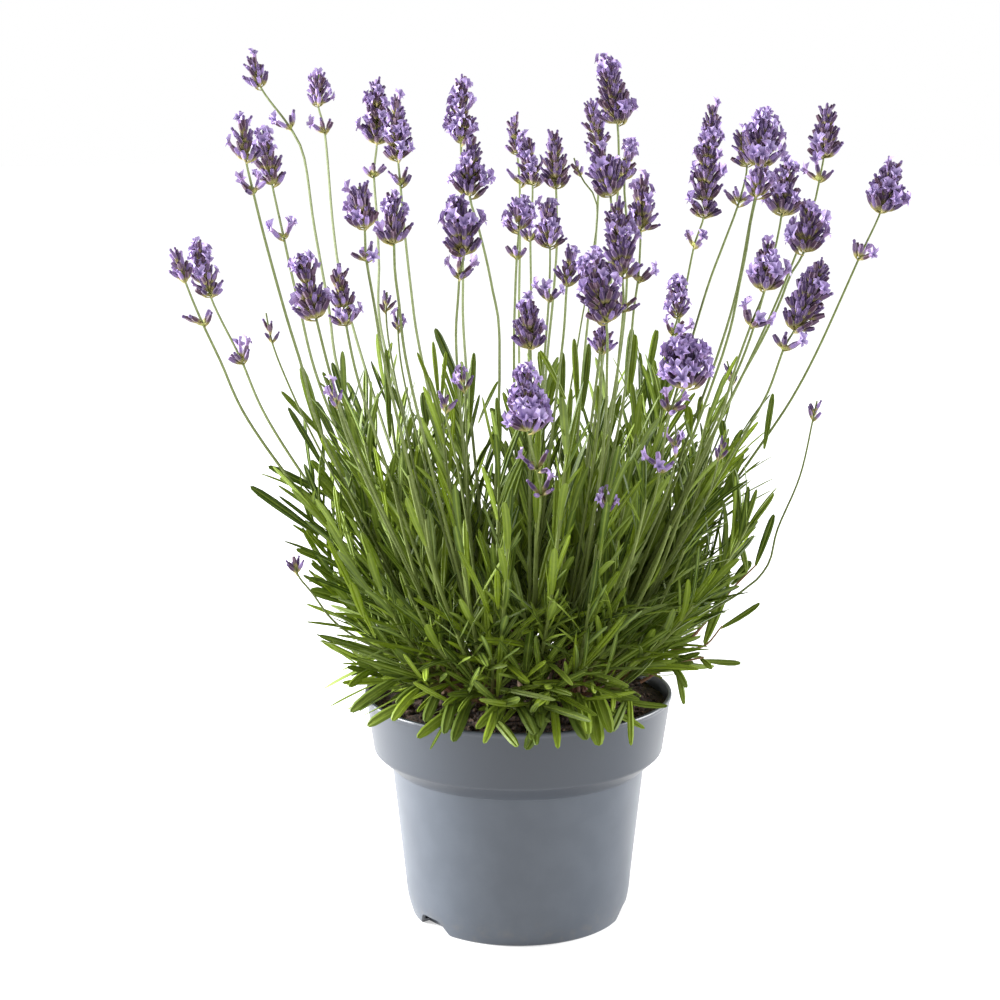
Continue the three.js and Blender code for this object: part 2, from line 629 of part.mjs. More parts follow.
// A spike: bare stem between its lower whorls, then bands of florets up to its tip
function spike({ flower, curve, foot: footPlace, whorls }, index) {
  const foot = seenAt(flower.foot, flower.depth);
  const tip = seenAt(flower.tip, flower.depth);
  const axis = tip.clone().sub(foot).normalize();
  const length = tip.distanceTo(foot) - 0.55 * flower.width;
  const bands = Math.max(2, Math.round(length / BAND_HEIGHT));
  const rings = [];
  whorls.forEach((place, index) => {
    const point = curve.getPoint(place);
    const up = curve.getTangent(place);
    const next = whorls[index + 1] ?? footPlace;
    if (rings.length === 0) {
      rings.push({ point: point.clone().addScaledVector(up, -WHORL_TAIL), radius: RACHIS_RADIUS });
    }
    rings.push({ point: point.clone().addScaledVector(up, -1.6), radius: 1.7 });
    rings.push({ point: point.clone().addScaledVector(up, 1.6), radius: 1.5, reach: 5.4, lift: 0.7 });
    rings.push({ point: curve.getPoint((place + next) / 2), radius: RACHIS_RADIUS });
  });
  rings.push({ point: foot, radius: RACHIS_RADIUS });
  for (let band = 1; band <= bands; band += 1) {
    const share = band / bands;
    rings.push({
      point: foot.clone().addScaledVector(axis, length * share),
      radius: CORE_RADIUS * (1.05 - 0.6 * share * share),
      reach: (flower.width - CORE_RADIUS) * (1.12 - 0.2 * share),
      lift: THREE.MathUtils.lerp(0.15, 0.95, share),
    });
  }
  const sides = flower.width > 9.5 ? 6 : 5;
  return spikeSolid(rings, sides, draws(500 + index));
}

// A small bud at the end of its own thin stalk
function budStalk({ flower, curve, foot }) {
  const points = [
    ...along(curve, 0, foot * 0.94, 4), seenAt(flower.foot, flower.depth), seenAt(flower.tip, flower.depth),
  ];
  return rod(points, [...points.slice(2).map(() => STALK_RADIUS), 2.6, 0.9], 4);
}

const stalks = SPIKES.map(stalkOf);
const budStalks = BUDS.map(stalkOf);
stalks.forEach((stalk, index) => {
  const { flower, curve, cut, foot, whorls } = stalk;
  const own = `spike ${index}`;
  take(piecesOf(along(curve, 0, cut, 14), STALK_RADIUS), flower.branch, `stalk ${index}`);
  if (whorls.length) take(piecesOf(along(curve, cut, foot, 6), RACHIS_RADIUS), own);
  take(piecesOf([seenAt(flower.foot, flower.depth), seenAt(flower.tip, flower.depth)], flower.width), own);
  whorls.forEach((place) => {
    const point = curve.getPoint(place);
    take(piecesOf([point, point.clone().addScaledVector(UP, 3)], 6), own);
  });
});
budStalks.forEach(({ flower, curve, foot }) => {
  take(piecesOf(along(curve, 0, foot, 10), STALK_RADIUS), flower.branch);
  take(piecesOf([seenAt(flower.foot, flower.depth), seenAt(flower.tip, flower.depth)], 2.6), flower.branch);
});

// The leafy shoots: their tips are spread evenly up the vase of the bush, and each
// grows from the branch whose foot lies nearest below it
function leafyShoots() {
  const names = Object.keys(BRANCHES);
  const shoots = [];
  for (let index = 0; index < SHOOT_COUNT; index += 1) {
    const draw = draws(1000 + index);
    const share = (index + 0.5) / SHOOT_COUNT;
    const height = THREE.MathUtils.lerp(BUSH_LOW, BUSH_TOP, share ** BUSH_RISE);
    const swell = THREE.MathUtils.smoothstep(height, BUSH_LOW, BUSH_FULL);
    const reach = (BUSH_FOOT + BUSH_SWELL * swell) * (1 - (0.1 + 0.35 * swell) * draw());
    const turn = index * GOLDEN_ANGLE;
    const tip = new THREE.Vector3(
      reach * Math.cos(turn) + BUSH_LEAN * swell,
      reach * Math.sin(turn),
      height,
    );
    const branch = names.reduce((best, name) => {
      const away = ([x, y]) => Math.hypot(tip.x * 0.42 - x, tip.y * 0.42 - y);
      return away(BRANCHES[name]) < away(BRANCHES[best]) ? name : best;
    }, names[0]);
    const root = stemStart(branch, tip, SOIL_CROWN_HEIGHT + 4 + 10 * draw());
    const middle = tip.clone().sub(root).multiply(new THREE.Vector3(0.66, 0.66, 0.4)).add(root)
      .addScaledVector(UP, BUSH_ARCH * (1 - swell));
    const curve = new THREE.QuadraticBezierCurve3(root, middle, tip);
    const path = pathOf(curve, 0, 1);
    shoots.push({ branch, index, path, points: along(curve, 0, 1, 8) });
  }
  return shoots;
}

// A branch: its woody foot, its stalks and buds, and its leafy shoots
function branchParts(name, stems) {
  const [x, y] = BRANCHES[name];
  const foot = new THREE.Vector3(x, y, SOIL_CROWN_HEIGHT - HOLE_DEPTH + NODE_GAP);
  const collar = new THREE.Vector3(x, y, SOIL_CROWN_HEIGHT + 3);
  const fork = new THREE.Vector3(x, y, SOIL_CROWN_HEIGHT + FORK_RISE);
  const parts = [rod([foot, collar, fork], [BASE_WOOD_RADIUS, BASE_WOOD_RADIUS, FORK_RADIUS], 6)];
  stems.filter(({ branch }) => branch === name).forEach((stem) => parts.push(leafyStem(stem)));
  budStalks.filter(({ flower }) => flower.branch === name).forEach((stalk) => parts.push(budStalk(stalk)));
  return parts;
}

// The leaves of a node that stand clear of everything but their own stem
function clearLeaves(stem, leaves) {
  const others = taken.filter((piece) => piece.stem !== stem.name);
  return leaves.filter((leaf) => {
    const fine = Array.from({ length: 10 }, (_, step) => leafPoint(leaf, 0.1 + step / 10));
    return isClearOfPot(fine) && isClearOf(leafPieces(leaf), others);
  });
}

// The nodes that carry leaves here, spread evenly through the bush: whole pairs that
// stand clear first, then single leaves where there is still room
function spreadNodes(stems) {
  const spots = [];
  const chosen = new Map(stems.map((stem) => [stem, []]));
  [2, 1].forEach((needed) => stems.forEach((stem) => stem.nodes.forEach((node) => {
    if (spots.some((spot) => spot.distanceTo(node.point) < NODE_SPACING)) return;
    const leaves = clearLeaves(stem, node.leaves);
    if (leaves.length < needed) return;
    leaves.forEach((leaf) => take(leafPieces(leaf), stem.branch, `${stem.name} leaf`));
    spots.push(node.point);
    chosen.get(stem).push({ ...node, leaves });
  })));
  return stems.map((stem) => ({
    ...stem,
    nodes: chosen.get(stem).sort((one, other) => one.distance - other.distance),
  }));
}

// The flower stalks as leafy stems, bare above the bush
function stalkStem({ flower, curve, cut }, index) {
  const path = pathOf(curve, 0, cut);
  const from = 12;
  const leafy = path.points.findIndex((point) => point.z > LEAFY_TOP);
  const to = leafy < 0 ? path.length * 0.7 : (path.length * leafy) / PATH_STEPS;
  return {
    branch: flower.branch, name: `stalk ${index}`, path, from: 0, to: path.length, bare: 3,
    radius: () => STALK_RADIUS,
    ...leafNodes(path, from, to, 2000 + index),
  };
}

// A leafy shoot as a stem, thinner towards its tip
function shootStem({ branch, index, path }) {
  return {
    branch, name: `shoot ${index}`, path, from: 0, to: path.length, bare: 1,
    radius: (share) => SHOOT_RADIUS * (1.1 - 0.4 * share),
    ...leafNodes(path, path.length * 0.22, path.length, 3000 + index),
  };
}

const plant = new THREE.Group();
plant.add(meshOf('pot', pot(), COLOURS.pot, 0.45));
plant.add(meshOf('soil', soil(), COLOURS.soil, 0.95));
Object.entries(BRANCHES).forEach(([name, [x, y]]) => {
  const fork = new THREE.Vector3(x, y, SOIL_CROWN_HEIGHT + FORK_RISE);
  take(piecesOf([new THREE.Vector3(x, y, SOIL_CROWN_HEIGHT), fork], FORK_RADIUS), name);
});
const shoots = leafyShoots().filter(({ branch, index, points }) => {
  if (index % SHOOT_STEP !== 0) return false;
  const pieces = piecesOf(points, SHOOT_RADIUS);
  const others = taken.filter(({ owner }) => owner !== branch);
  const clear = isClearOfPot(points) && isClearOf(pieces, others);
  if (clear) take(pieces, branch, `shoot ${index}`);
  return clear;
});
const stems = spreadNodes([...shoots.map(shootStem), ...stalks.map(stalkStem)]);
Object.keys(BRANCHES).forEach((name) => {
  const parts = branchParts(name, stems);
  plant.add(meshOf(`branch_${name}`, parts.reduce((whole, part) => whole.add(part)), COLOURS.branch, 0.6));
});
stalks.forEach((stalk, index) => {
  const number = String(index + 1).padStart(2, '0');
  plant.add(meshOf(`spike_${number}`, spike(stalk, index), COLOURS.spike, 0.6));
});

export default plant;
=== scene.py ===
"""Potted lavender: the looks of the plant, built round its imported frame.

Lengths are worked out in millimetres and turned to metres where a mesh is made. The front
of the plant faces -Y, and the origin is on the pot's axis at its underside.
"""

import logging
import math
from dataclasses import dataclass
from enum import Enum, IntEnum
from functools import partial
from typing import Self

import bpy
import numpy as np
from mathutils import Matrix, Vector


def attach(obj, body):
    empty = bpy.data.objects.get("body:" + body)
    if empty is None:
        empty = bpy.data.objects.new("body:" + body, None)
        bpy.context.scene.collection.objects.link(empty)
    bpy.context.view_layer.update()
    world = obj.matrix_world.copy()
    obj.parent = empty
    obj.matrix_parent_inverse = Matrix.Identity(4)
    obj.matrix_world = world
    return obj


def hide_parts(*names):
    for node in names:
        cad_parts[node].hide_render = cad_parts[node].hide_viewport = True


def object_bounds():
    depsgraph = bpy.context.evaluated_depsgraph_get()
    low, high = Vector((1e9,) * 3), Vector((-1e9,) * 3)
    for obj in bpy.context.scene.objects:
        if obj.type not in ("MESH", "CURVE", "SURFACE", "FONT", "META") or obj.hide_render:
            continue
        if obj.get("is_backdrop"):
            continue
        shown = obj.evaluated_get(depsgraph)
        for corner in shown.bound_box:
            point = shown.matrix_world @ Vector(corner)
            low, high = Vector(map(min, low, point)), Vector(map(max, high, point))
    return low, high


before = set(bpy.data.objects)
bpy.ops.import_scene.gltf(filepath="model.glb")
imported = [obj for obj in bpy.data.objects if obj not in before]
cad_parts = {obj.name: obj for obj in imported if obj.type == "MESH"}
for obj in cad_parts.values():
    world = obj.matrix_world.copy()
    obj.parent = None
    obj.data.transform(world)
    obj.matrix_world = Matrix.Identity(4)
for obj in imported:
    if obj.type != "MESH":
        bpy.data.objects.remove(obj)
CAD_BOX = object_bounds()

Array = np.ndarray
Socket = bpy.types.NodeSocket
Value = float | str | tuple[float, ...] | Socket
log = logging.getLogger("lavender")

MM = 0.001
BODY = "root"
FULL_TURN = 2 * math.pi
GOLDEN_ANGLE = math.pi * (3 - math.sqrt(5))
UP = np.array([0.0, 0.0, 1.0])
SQUARE = np.array([1.0, 0.74] * 4)
SQUARE_TURN = 0.3
ROUND = np.ones(7)
CALYX = 7.0


class Slot(Enum):
    """The record's material slots."""

    POT = "pot_plastic"
    SOIL = "potting_soil"
    LEAF = "lavender_leaf"
    FLOWER = "lavender_flower"


class Openness(Enum):
    """How far a flower has come: what stands in the mouth of its calyx."""

    CLOSED = 0
    BUD = 1
    OPEN = 2


class Seed(IntEnum):
    """Where the runs of random draws start, one for each kind of piece."""

    KNOTS = 3
    SOIL = 7
    CRUMBS = 11
    HEAD = 100
    BUD = 700
    SHOOT = 1000
    STALK_LEAVES = 2000
    SHOOT_LEAVES = 3000
    TUFTS = 9000


def linear(code: str) -> tuple[float, float, float, float]:
    """Turns an sRGB hex colour to linear light.

    Args:
        code: The colour as rrggbb.

    Returns:
        Red, green and blue in linear light, and an alpha of 1. A channel c is c / 12.92
        where it is dark, and ((c + 0.055) / 1.055) to the 2.4 elsewhere.
    """
    channels = [int(code[at:at + 2], 16) / 255 for at in (0, 2, 4)]
    light = [c / 12.92 if c <= 0.04045 else ((c + 0.055) / 1.055) ** 2.4 for c in channels]
    return (*light, 1.0)


def draws(seed: int, count: int) -> Array:
    """Draws a repeatable run of numbers from 0 to 1.

    Args:
        seed: Which run.
        count: How many numbers.

    Returns:
        The numbers. Each state is a factor times the last plus a step, modulo 2 to the
        32, and a number is its state as a share of that.
    """
    factor, step, span = 1664525, 1013904223, 2**32
    state = (seed * 7919 + 12345) % span
    states = []
    for _ in range(count):
        state = (state * factor + step) % span
        states.append(state)
    return np.array(states) / span


def unit(vectors: Array) -> Array:
    """Scales vectors along the last axis to a length of 1."""
    return vectors / np.linalg.norm(vectors, axis=-1, keepdims=True)


def mixed(start: Array | float, end: Array | float, share: Array | float) -> Array | float:
    """Goes from start to end by a share from 0 to 1."""
    return start + (end - start) * share


def smooth(low: float, high: float, value: Array) -> Array:
    """Eases from 0 at low to 1 at high: 3 s squared less 2 s cubed of the share s."""
    share = np.clip((value - low) / (high - low), 0, 1)
    return share * share * (3 - 2 * share)


def ring_angles(corners: int, start: float = 0.0) -> Array:
    """Gives the even angles of a ring's corners."""
    return start + np.arange(corners) * FULL_TURN / corners


def around(across: Array, third: Array, turns: Array) -> Array:
    """Turns from across towards third: across times the cosine plus third times the sine."""
    return across * np.cos(turns)[..., None] + third * np.sin(turns)[..., None]


def square_to(way: Array) -> tuple[Array, Array]:
    """Gives two directions that are square to a way and to each other."""
    across = unit(np.cross(way, np.eye(3)[0 if abs(way[0]) < 0.9 else 1]))
    return across, np.cross(way, across)


def placed(name: str, data: bpy.types.ID) -> bpy.types.Object:
    """Puts a new object with its data into the scene.

    Args:
        name: Its name.
        data: Its mesh, camera or light.

    Returns:
        The new object.
    """
    thing = bpy.data.objects.new(name, data)
    bpy.context.scene.collection.objects.link(thing)
    return thing


@dataclass(frozen=True)
class Viewpoint:
    """Where the photograph was taken from, in a frame of 1000 by 1000 pixels."""

    x: float = -10.1
    y: float = -1150.0
    z: float = 453.7
    pitch: float = math.radians(10.84)
    focal: float = 2149.3
    centre: float = 500.0
    sensor: float = 36.0

    def seen_at(self, pixels: Array, depths: Array | float) -> Array:
        """Finds the points that the photograph shows at pixels.

        Args:
            pixels: Columns and rows, one pair a line.
            depths: How far behind the pot's axis each point lies.

        Returns:
            The points. A pixel's ray leaves the viewpoint sideways by column / focal and
            up by row / focal, turned down by the pitch, and ends at its depth.
        """
        pixels = np.atleast_2d(np.asarray(pixels, float))
        side = (pixels[:, 0] - self.centre) / self.focal
        rise = (self.centre - pixels[:, 1]) / self.focal
        forward = math.cos(self.pitch) + rise * math.sin(self.pitch)
        upward = rise * math.cos(self.pitch) - math.sin(self.pitch)
        distance = (depths - self.y) / forward
        behind = np.zeros_like(side) + depths
        return np.stack([self.x + side * distance, behind, self.z + upward * distance], axis=1)

    def pixels(self, points: Array) -> Array:
        """Finds the columns and rows at which the photograph shows points.

        Args:
            points: The points, in millimetres.

        Returns:
            Columns and rows along the last axis. It undoes seen_at.
        """
        away = points - np.array([self.x, self.y, self.z])
        forward = away[..., 1] * math.cos(self.pitch) - away[..., 2] * math.sin(self.pitch)
        upward = away[..., 1] * math.sin(self.pitch) + away[..., 2] * math.cos(self.pitch)
        aside = np.stack([away[..., 0], -upward], axis=-1)
        return self.centre + self.focal * aside / forward[..., None]

    def camera(self) -> None:
        """Stands the camera at the viewpoint and makes it the scene's."""
        data = bpy.data.cameras.new("photograph_view")
        data.sensor_width = self.sensor
        data.lens = self.sensor * self.focal / (2 * self.centre)
        camera = placed("photograph_view", data)
        camera.location = (self.x * MM, self.y * MM, self.z * MM)
        camera.rotation_euler = (math.pi / 2 - self.pitch, 0.0, 0.0)
        bpy.context.scene.camera = camera


VIEW = Viewpoint()


@dataclass(frozen=True)
class Grain:
    """Noise with grains of a size in millimetres, fixed to the piece and drawn out upwards."""

    size: float
    detail: float = 3.0
    drawn: float = 1.0


Source = Grain | str


class Tree:
    """A material's nodes, added one at a time with what feeds them."""

    def __init__(self, owner: bpy.types.Material | bpy.types.World) -> None:
        """Empties the owner's node tree.

        Args:
            owner: The material or world.
        """
        owner.use_nodes = True
        self.nodes, self.links = owner.node_tree.nodes, owner.node_tree.links
        self.nodes.clear()

    def add(self, kind: str, inputs: dict[str | int, Value], **settings: object) -> bpy.types.Node:
        """Adds a node.

        Args:
            kind: Blender's name for the node.
            inputs: For each input, by name or place, the socket that feeds it, a plain
                value or a hex colour.
            settings: The node's own settings.

        Returns:
            The new node.
        """
        node = self.nodes.new(kind)
        for name, value in settings.items():
            setattr(node, name, value)
        for place, value in inputs.items():
            if isinstance(value, Socket):
                self.links.new(value, node.inputs[place])
            else:
                plain = linear(value) if isinstance(value, str) else value
                node.inputs[place].default_value = plain
        return node

    def read(self, source: Source) -> Socket:
        """Reads a number at each point of the piece.

        Args:
            source: A grain, "height" for the height in metres, or the name of one of the
                piece's own attributes.

        Returns:
            The socket of the number.
        """
        if isinstance(source, str) and source != "height":
            return self.add("ShaderNodeAttribute", {}, attribute_name=source).outputs["Fac"]
        place = self.add("ShaderNodeTexCoord", {}).outputs["Object"]
        if source == "height":
            return self.add("ShaderNodeSeparateXYZ", {0: place}).outputs["Z"]
        if source.drawn != 1.0:
            scale = (1.0, 1.0, source.drawn)
            place = self.add("ShaderNodeMapping", {"Vector": place, "Scale": scale}).outputs[0]
        inputs = {"Vector": place, "Scale": 1 / (source.size * MM), "Detail": source.detail}
        return self.add("ShaderNodeTexNoise", inputs).outputs["Fac"]

    def band(self, source: Source, low: float, high: float) -> Socket:
        """Eases from 0 where a source is low to 1 where it is high, and holds beyond."""
        return self.add("ShaderNodeMapRange", {0: self.read(source), 1: low, 2: high},
                        interpolation_type="SMOOTHSTEP").outputs[0]

    def times(self, value: Socket, factor: Value) -> Socket:
        """Multiplies two numbers."""
        return self.add("ShaderNodeMath", {0: value, 1: factor}, operation="MULTIPLY").outputs[0]


@dataclass(frozen=True)
class Layer:
    """A colour over those below it.

    It lies where its source nears high, times also, if it has that: the source, low and
    high of another band. most is how much it covers there, if not all. Without low and
    high its share is the source itself.
    """

    colour: str
    source: Source
    low: float | None = None
    high: float | None = None
    most: float | None = None
    also: tuple[Source, float, float] | None = None

    def over(self, tree: Tree, under: Value) -> Socket:
        """Lays the colour over another.

        Args:
            tree: The material's nodes.
            under: The colour below.

        Returns:
            The socket of the result.
        """
        share = tree.read(self.source) if self.low is None else tree.band(
            self.source, self.low, self.high)
        if self.also:
            share = tree.times(share, tree.band(*self.also))
        if self.most is not None:
            share = tree.times(share, self.most)
        return tree.add("ShaderNodeMix", {0: share, 6: under, 7: self.colour},
                        data_type="RGBA").outputs[2]


@dataclass(frozen=True)
class Finish:
    """What a piece is made of: the real material's name, and how it looks.

    mean is the colour that stands for them all, shade the one that the layers lie over,
    relief the grain that roughens it, depth how deep that is in millimetres, and surface
    has the plain values of the surface's other sockets.
    """

    name: str
    mean: str
    shade: str
    layers: tuple[Layer, ...]
    relief: Grain | None
    depth: float
    surface: tuple[tuple[str, Value], ...]

    def material(self) -> bpy.types.Material:
        """Gives the material, and builds it the first time.

        Returns:
            The material: its layers, in turn, over its shade.
        """
        made = bpy.data.materials.get(self.name)
        if made is None:
            made = bpy.data.materials.new(self.name)
            tree = Tree(made)
            colour = self.shade
            for layer in self.layers:
                colour = layer.over(tree, colour)
            surface = tree.add("ShaderNodeBsdfPrincipled",
                               {"Base Color": self.mean, **dict(self.surface)})
            tree.links.new(colour, surface.inputs["Base Color"])
            if self.relief:
                inputs = {"Height": tree.read(self.relief), "Distance": self.depth * MM}
                relief = tree.add("ShaderNodeBump", inputs)
                tree.links.new(relief.outputs[0], surface.inputs["Normal"])
            tree.add("ShaderNodeOutputMaterial", {"Surface": surface.outputs[0]})
        return made


def surface(roughness: float, specular: float | None = None, sheen: float | None = None,
            **others: Value) -> tuple[tuple[str, Value], ...]:
    """Names the plain values of a surface.

    Args:
        roughness: Its roughness.
        specular: The level of its reflections, if not the usual one.
        sheen: The weight of its sheen, if it has felt.
        others: Further sockets.

    Returns:
        Names and values of the sockets.
    """
    values = {"Roughness": roughness}
    if specular is not None:
        values["Specular IOR Level"] = specular
    if sheen is not None:
        values.update({"Sheen Weight": sheen, "Sheen Roughness": 0.5})
    values.update({name.replace("_", " "): value for name, value in others.items()})
    return tuple(values.items())


# Injection-moulded polypropylene: moulding gives it a soft satin gloss with a faint
# orange-peel relief, and handling leaves pale scuffs and some soil dust low down. The
# collar, above 84 mm, is painted darker: painted shade, as it tilts down towards the floor.
POLYPROPYLENE = Finish("moulded_polypropylene", "3e444d", "3e444d", (
    Layer("424851", Grain(14.0, 5.0), 0.35, 0.7),
    Layer("5a554d", "height", 0.022, 0.0, 0.35, (Grain(5.0, 6.0), 0.45, 0.8)),
    # Painted shade: the collar above 84 mm is darker because it faces the floor more than the sky.
    Layer("333840", "height", 0.084, 0.09),
), Grain(0.9, 1.0), 0.012, surface(0.38, IOR=1.49))

# Potting peat, milled and damp: crumbs of 2 to 3 mm, nearly black where they are wet and
# lighter brown where fibres and bark show.
PEAT = Finish("milled_peat", "4a3527", "17100b", (
    Layer("4a3527", Grain(2.0, 6.0), 0.38, 0.66),
    Layer("7d6248", Grain(1.1, 2.0), 0.62, 0.74),
), Grain(2.0, 6.0), 1.2, surface(0.95))

# A lavender leaf, narrow and finely felted: deep to bright yellow-green from leaf to leaf
# and mottled, greyer on the oldest leaves, paler over the midrib's groove, on the keel and
# at the foot, greyer beneath, with a felt too fine to show but for its sheen. Leaves low
# down are painted lighter, painted light that lifts the shade in the lower bush.
LEAF = Finish("felted_leaf", "697c0e", "2d4000", (
    Layer("697c0e", "tint", 0.05, 0.8),
    Layer("67763e", "tint", 0.82, 0.98),
    Layer("2d4000", Grain(3.0), 0.4, 0.75, 0.35),
    Layer("67763e", Grain(8.0), 0.42, 0.7, 0.28),
    # Painted light: leaves below 0.15 m are lighter, to lift the shade low in the bush.
    Layer("84943c", "height", 0.185, 0.15, 0.16),
    Layer("84943c", "rib", 0.24, 0.03, 0.55),
    Layer("56682c", "rib", 1.05, 1.5, 0.45),
    Layer("84943c", "rib", 1.6, 1.95, 0.5),
    Layer("84943c", "run", 0.25, 0.0, 0.45),
), Grain(0.7, 2.0), 0.05, surface(0.45, 0.14, 0.02))

# A square green stem of this year's growth: brown and woody where it leaves the branch,
# then painted lighter where the leaves shade it, painted light that lifts that shade, and
# yellow-green with a grey bloom above them.
STEM = Finish("square_stem", "4c5722", "4c5722", (
    Layer("5b6636", Grain(2.0), 0.35, 0.7),
    # Painted light: low on the stem, where the leaves shade it, the green is lighter.
    Layer("6e7b38", "run", 1.5, 0.6, 0.55),
    Layer("74543f", "run", 0.3, 0.05),
), Grain(0.8, 2.0), 0.06, surface(0.55, 0.3))

# Old lavender wood, grown: grey-brown and stringy, with long cracks that show darker.
BARK = Finish("lavender_bark", "8a715a", "3a2c21", (
    Layer("8a715a", Grain(1.6, 5.0, 0.18), 0.4, 0.62),
), Grain(1.6, 5.0, 0.18), 0.5, surface(0.8))

# A ribbed lavender calyx in grey felt: olive at its foot and dark violet above, from blue
# to brown and on to lilac between flowers, with pale ribs where the felt is thickest.
CALYX_FELT = Finish("felted_calyx", "3e2b52", "3e2b52", (
    Layer("452c3c", "tint", 0.2, 0.6),
    Layer("7e699c", "tint", 0.6, 0.85),
    Layer("927e90", "rib", 0.5, 1.0, 0.4),
    Layer("847c46", "run", 0.55, 0.12),
), Grain(0.5, 2.0), 0.05, surface(0.7, 0.25, 0.08))

# A lavender petal, thin and matt: pale violet-blue lobes round a deeper throat and a
# pinker tube, and dark violet while it is a bud.
PETAL = Finish("lavender_petal", "9480b2", "9480b2", (
    Layer("aa9bc6", "tint", 0.45, 1.0),
    Layer("8c719f", Grain(2.2), 0.45, 0.75),
    Layer("8c719f", "run", 0.6, 0.25),
    Layer("5d4a80", "run", 0.72, 1.0),
    Layer("54406c", "tint", 0.35, 0.2),
), Grain(0.8, 2.0), 0.04, surface(0.6, 0.3, 0.08))

# A papery bract under a whorl: yellow-green, browner towards its edge and tip.
BRACT = Finish("papery_bract", "8f9448", "8f9448", (
    Layer("6a4f3a", "rib", 0.4, 1.0, None, ("run", 0.2, 0.9)),
), Grain(0.8, 2.0), 0.04, surface(0.65))

# A studio sweep of matt white paper, lit from behind, with a tooth too fine to show.
PAPER = Finish("matt_paper_sweep", "cacaca", "cacaca", (
    Layer("cecece", Grain(40.0)),
), None, 0.0, surface(0.9, 0.1, Emission_Color="ffffff", Emission_Strength=0.45))


@dataclass
class Skin:
    """Closed surfaces of one finish.

    points are in millimetres, faces are arrays of corners with three or four to a face,
    and run, rib and tint are what the finish reads at each point: how far along its own
    leaf or flower it lies, how far across, and how that one differs from the next.
    """

    finish: Finish
    points: Array
    faces: list[Array]
    run: Array
    rib: Array
    tint: Array


def tubes(finish: Finish, rings: Array, run: Array, rib: Array | float = 0.0,
          tint: Array | float = 0.5, ends: tuple[Array, Array] | None = None) -> Skin:
    """Closes a batch of tubes, all with the same number of rings and corners.

    Args:
        finish: Their finish.
        rings: The corners, as (tubes, stations, corners, 3), each ring counterclockwise
            as seen from the tube's far end.
        run: How far along each station lies, as (stations) or (tubes, stations).
        rib: How far across each corner lies, as (corners) or (stations, corners).
        tint: How each tube differs, as (tubes).
        ends: The two points, each as (tubes, 3), that close the first and the last ring,
            if not their middles.

    Returns:
        The skin. Four corners of neighbouring rings make a face, and each end is a fan.
    """
    count, stations, corners, _ = rings.shape
    grid = np.arange(stations * corners).reshape(stations, corners)
    low, high = grid[:-1], grid[1:]
    sides = np.stack([low, np.roll(low, -1, 1), np.roll(high, -1, 1), high], axis=-1)
    first, last = grid[0], grid[-1]
    each = stations * corners + 2
    fans = np.concatenate([
        np.stack([np.full(corners, each - 2), np.roll(first, -1), first], axis=-1),
        np.stack([np.full(corners, each - 1), last, np.roll(last, -1)], axis=-1),
    ])
    shift = (np.arange(count) * each)[:, None, None]
    start, end = ends or (rings[:, 0].mean(axis=1), rings[:, -1].mean(axis=1))
    points = np.concatenate([rings.reshape(count, -1, 3), start[:, None], end[:, None]], axis=1)
    along = np.broadcast_to(run, (count, stations))
    across = np.broadcast_to(rib, (count, stations, corners)).reshape(count, -1)
    run, rib = (np.concatenate([inner, value[:, :1], value[:, -1:]], axis=1).ravel()
                for inner, value in ((np.repeat(along, corners, axis=1), along), (across, across)))
    return Skin(
        finish=finish,
        points=points.reshape(-1, 3),
        faces=[(part.reshape(1, -1, part.shape[-1]) + shift).reshape(-1, part.shape[-1])
               for part in (sides, fans)],
        run=run,
        rib=rib,
        tint=np.repeat(np.broadcast_to(tint, (count,)), each),
    )


def piece_of(name: str, skins: list[Skin], slot: Slot, replaced: tuple[str, ...] = (),
             crease: float = 50.0) -> bpy.types.Object:
    """Makes one named piece of the plant from skins.

    Args:
        name: The piece's name.
        skins: Its surfaces, which may have several finishes.
        slot: The record's slot for the piece, which is only named in the log.
        replaced: The nodes of the frame that it stands for.
        crease: The angle in degrees past which an edge shows as sharp.

    Returns:
        The new object, at the origin, riding on the plant's body.
    """
    mesh = bpy.data.meshes.new(name)
    finishes = list(dict.fromkeys(skin.finish for skin in skins))
    for finish in finishes:
        mesh.materials.append(finish.material())
    starts = np.cumsum([0] + [len(skin.points) for skin in skins])
    points = np.concatenate([skin.points for skin in skins]) * MM
    faces = [part + start for skin, start in zip(skins, starts) for part in skin.faces]
    owners = [finishes.index(skin.finish) for skin in skins for _ in skin.faces]
    corners = np.concatenate([part.ravel() for part in faces])
    sizes = np.concatenate([np.full(len(part), part.shape[1]) for part in faces])
    mesh.vertices.add(len(points))
    mesh.vertices.foreach_set("co", points.ravel().astype(np.float32))
    mesh.loops.add(len(corners))
    mesh.loops.foreach_set("vertex_index", corners.astype(np.int32))
    mesh.polygons.add(len(sizes))
    mesh.polygons.foreach_set("loop_start", (np.cumsum(sizes) - sizes).astype(np.int32))
    mesh.polygons.foreach_set("material_index", np.repeat(owners, [len(part) for part in faces]))
    mesh.polygons.foreach_set("use_smooth", np.ones(len(sizes), bool))
    for kind in ("run", "rib", "tint"):
        values = np.concatenate([getattr(skin, kind) for skin in skins]).astype(np.float32)
        mesh.attributes.new(kind, "FLOAT", "POINT").data.foreach_set("value", values)
    mesh.update(calc_edges=True)
    mesh.set_sharp_from_angle(angle=math.radians(crease))
    piece = placed(name, mesh)
    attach(piece, BODY)
    if replaced:
        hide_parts(*replaced)
    log.info("%s: %d faces, slot %s", name, len(sizes), slot.value)
    return piece


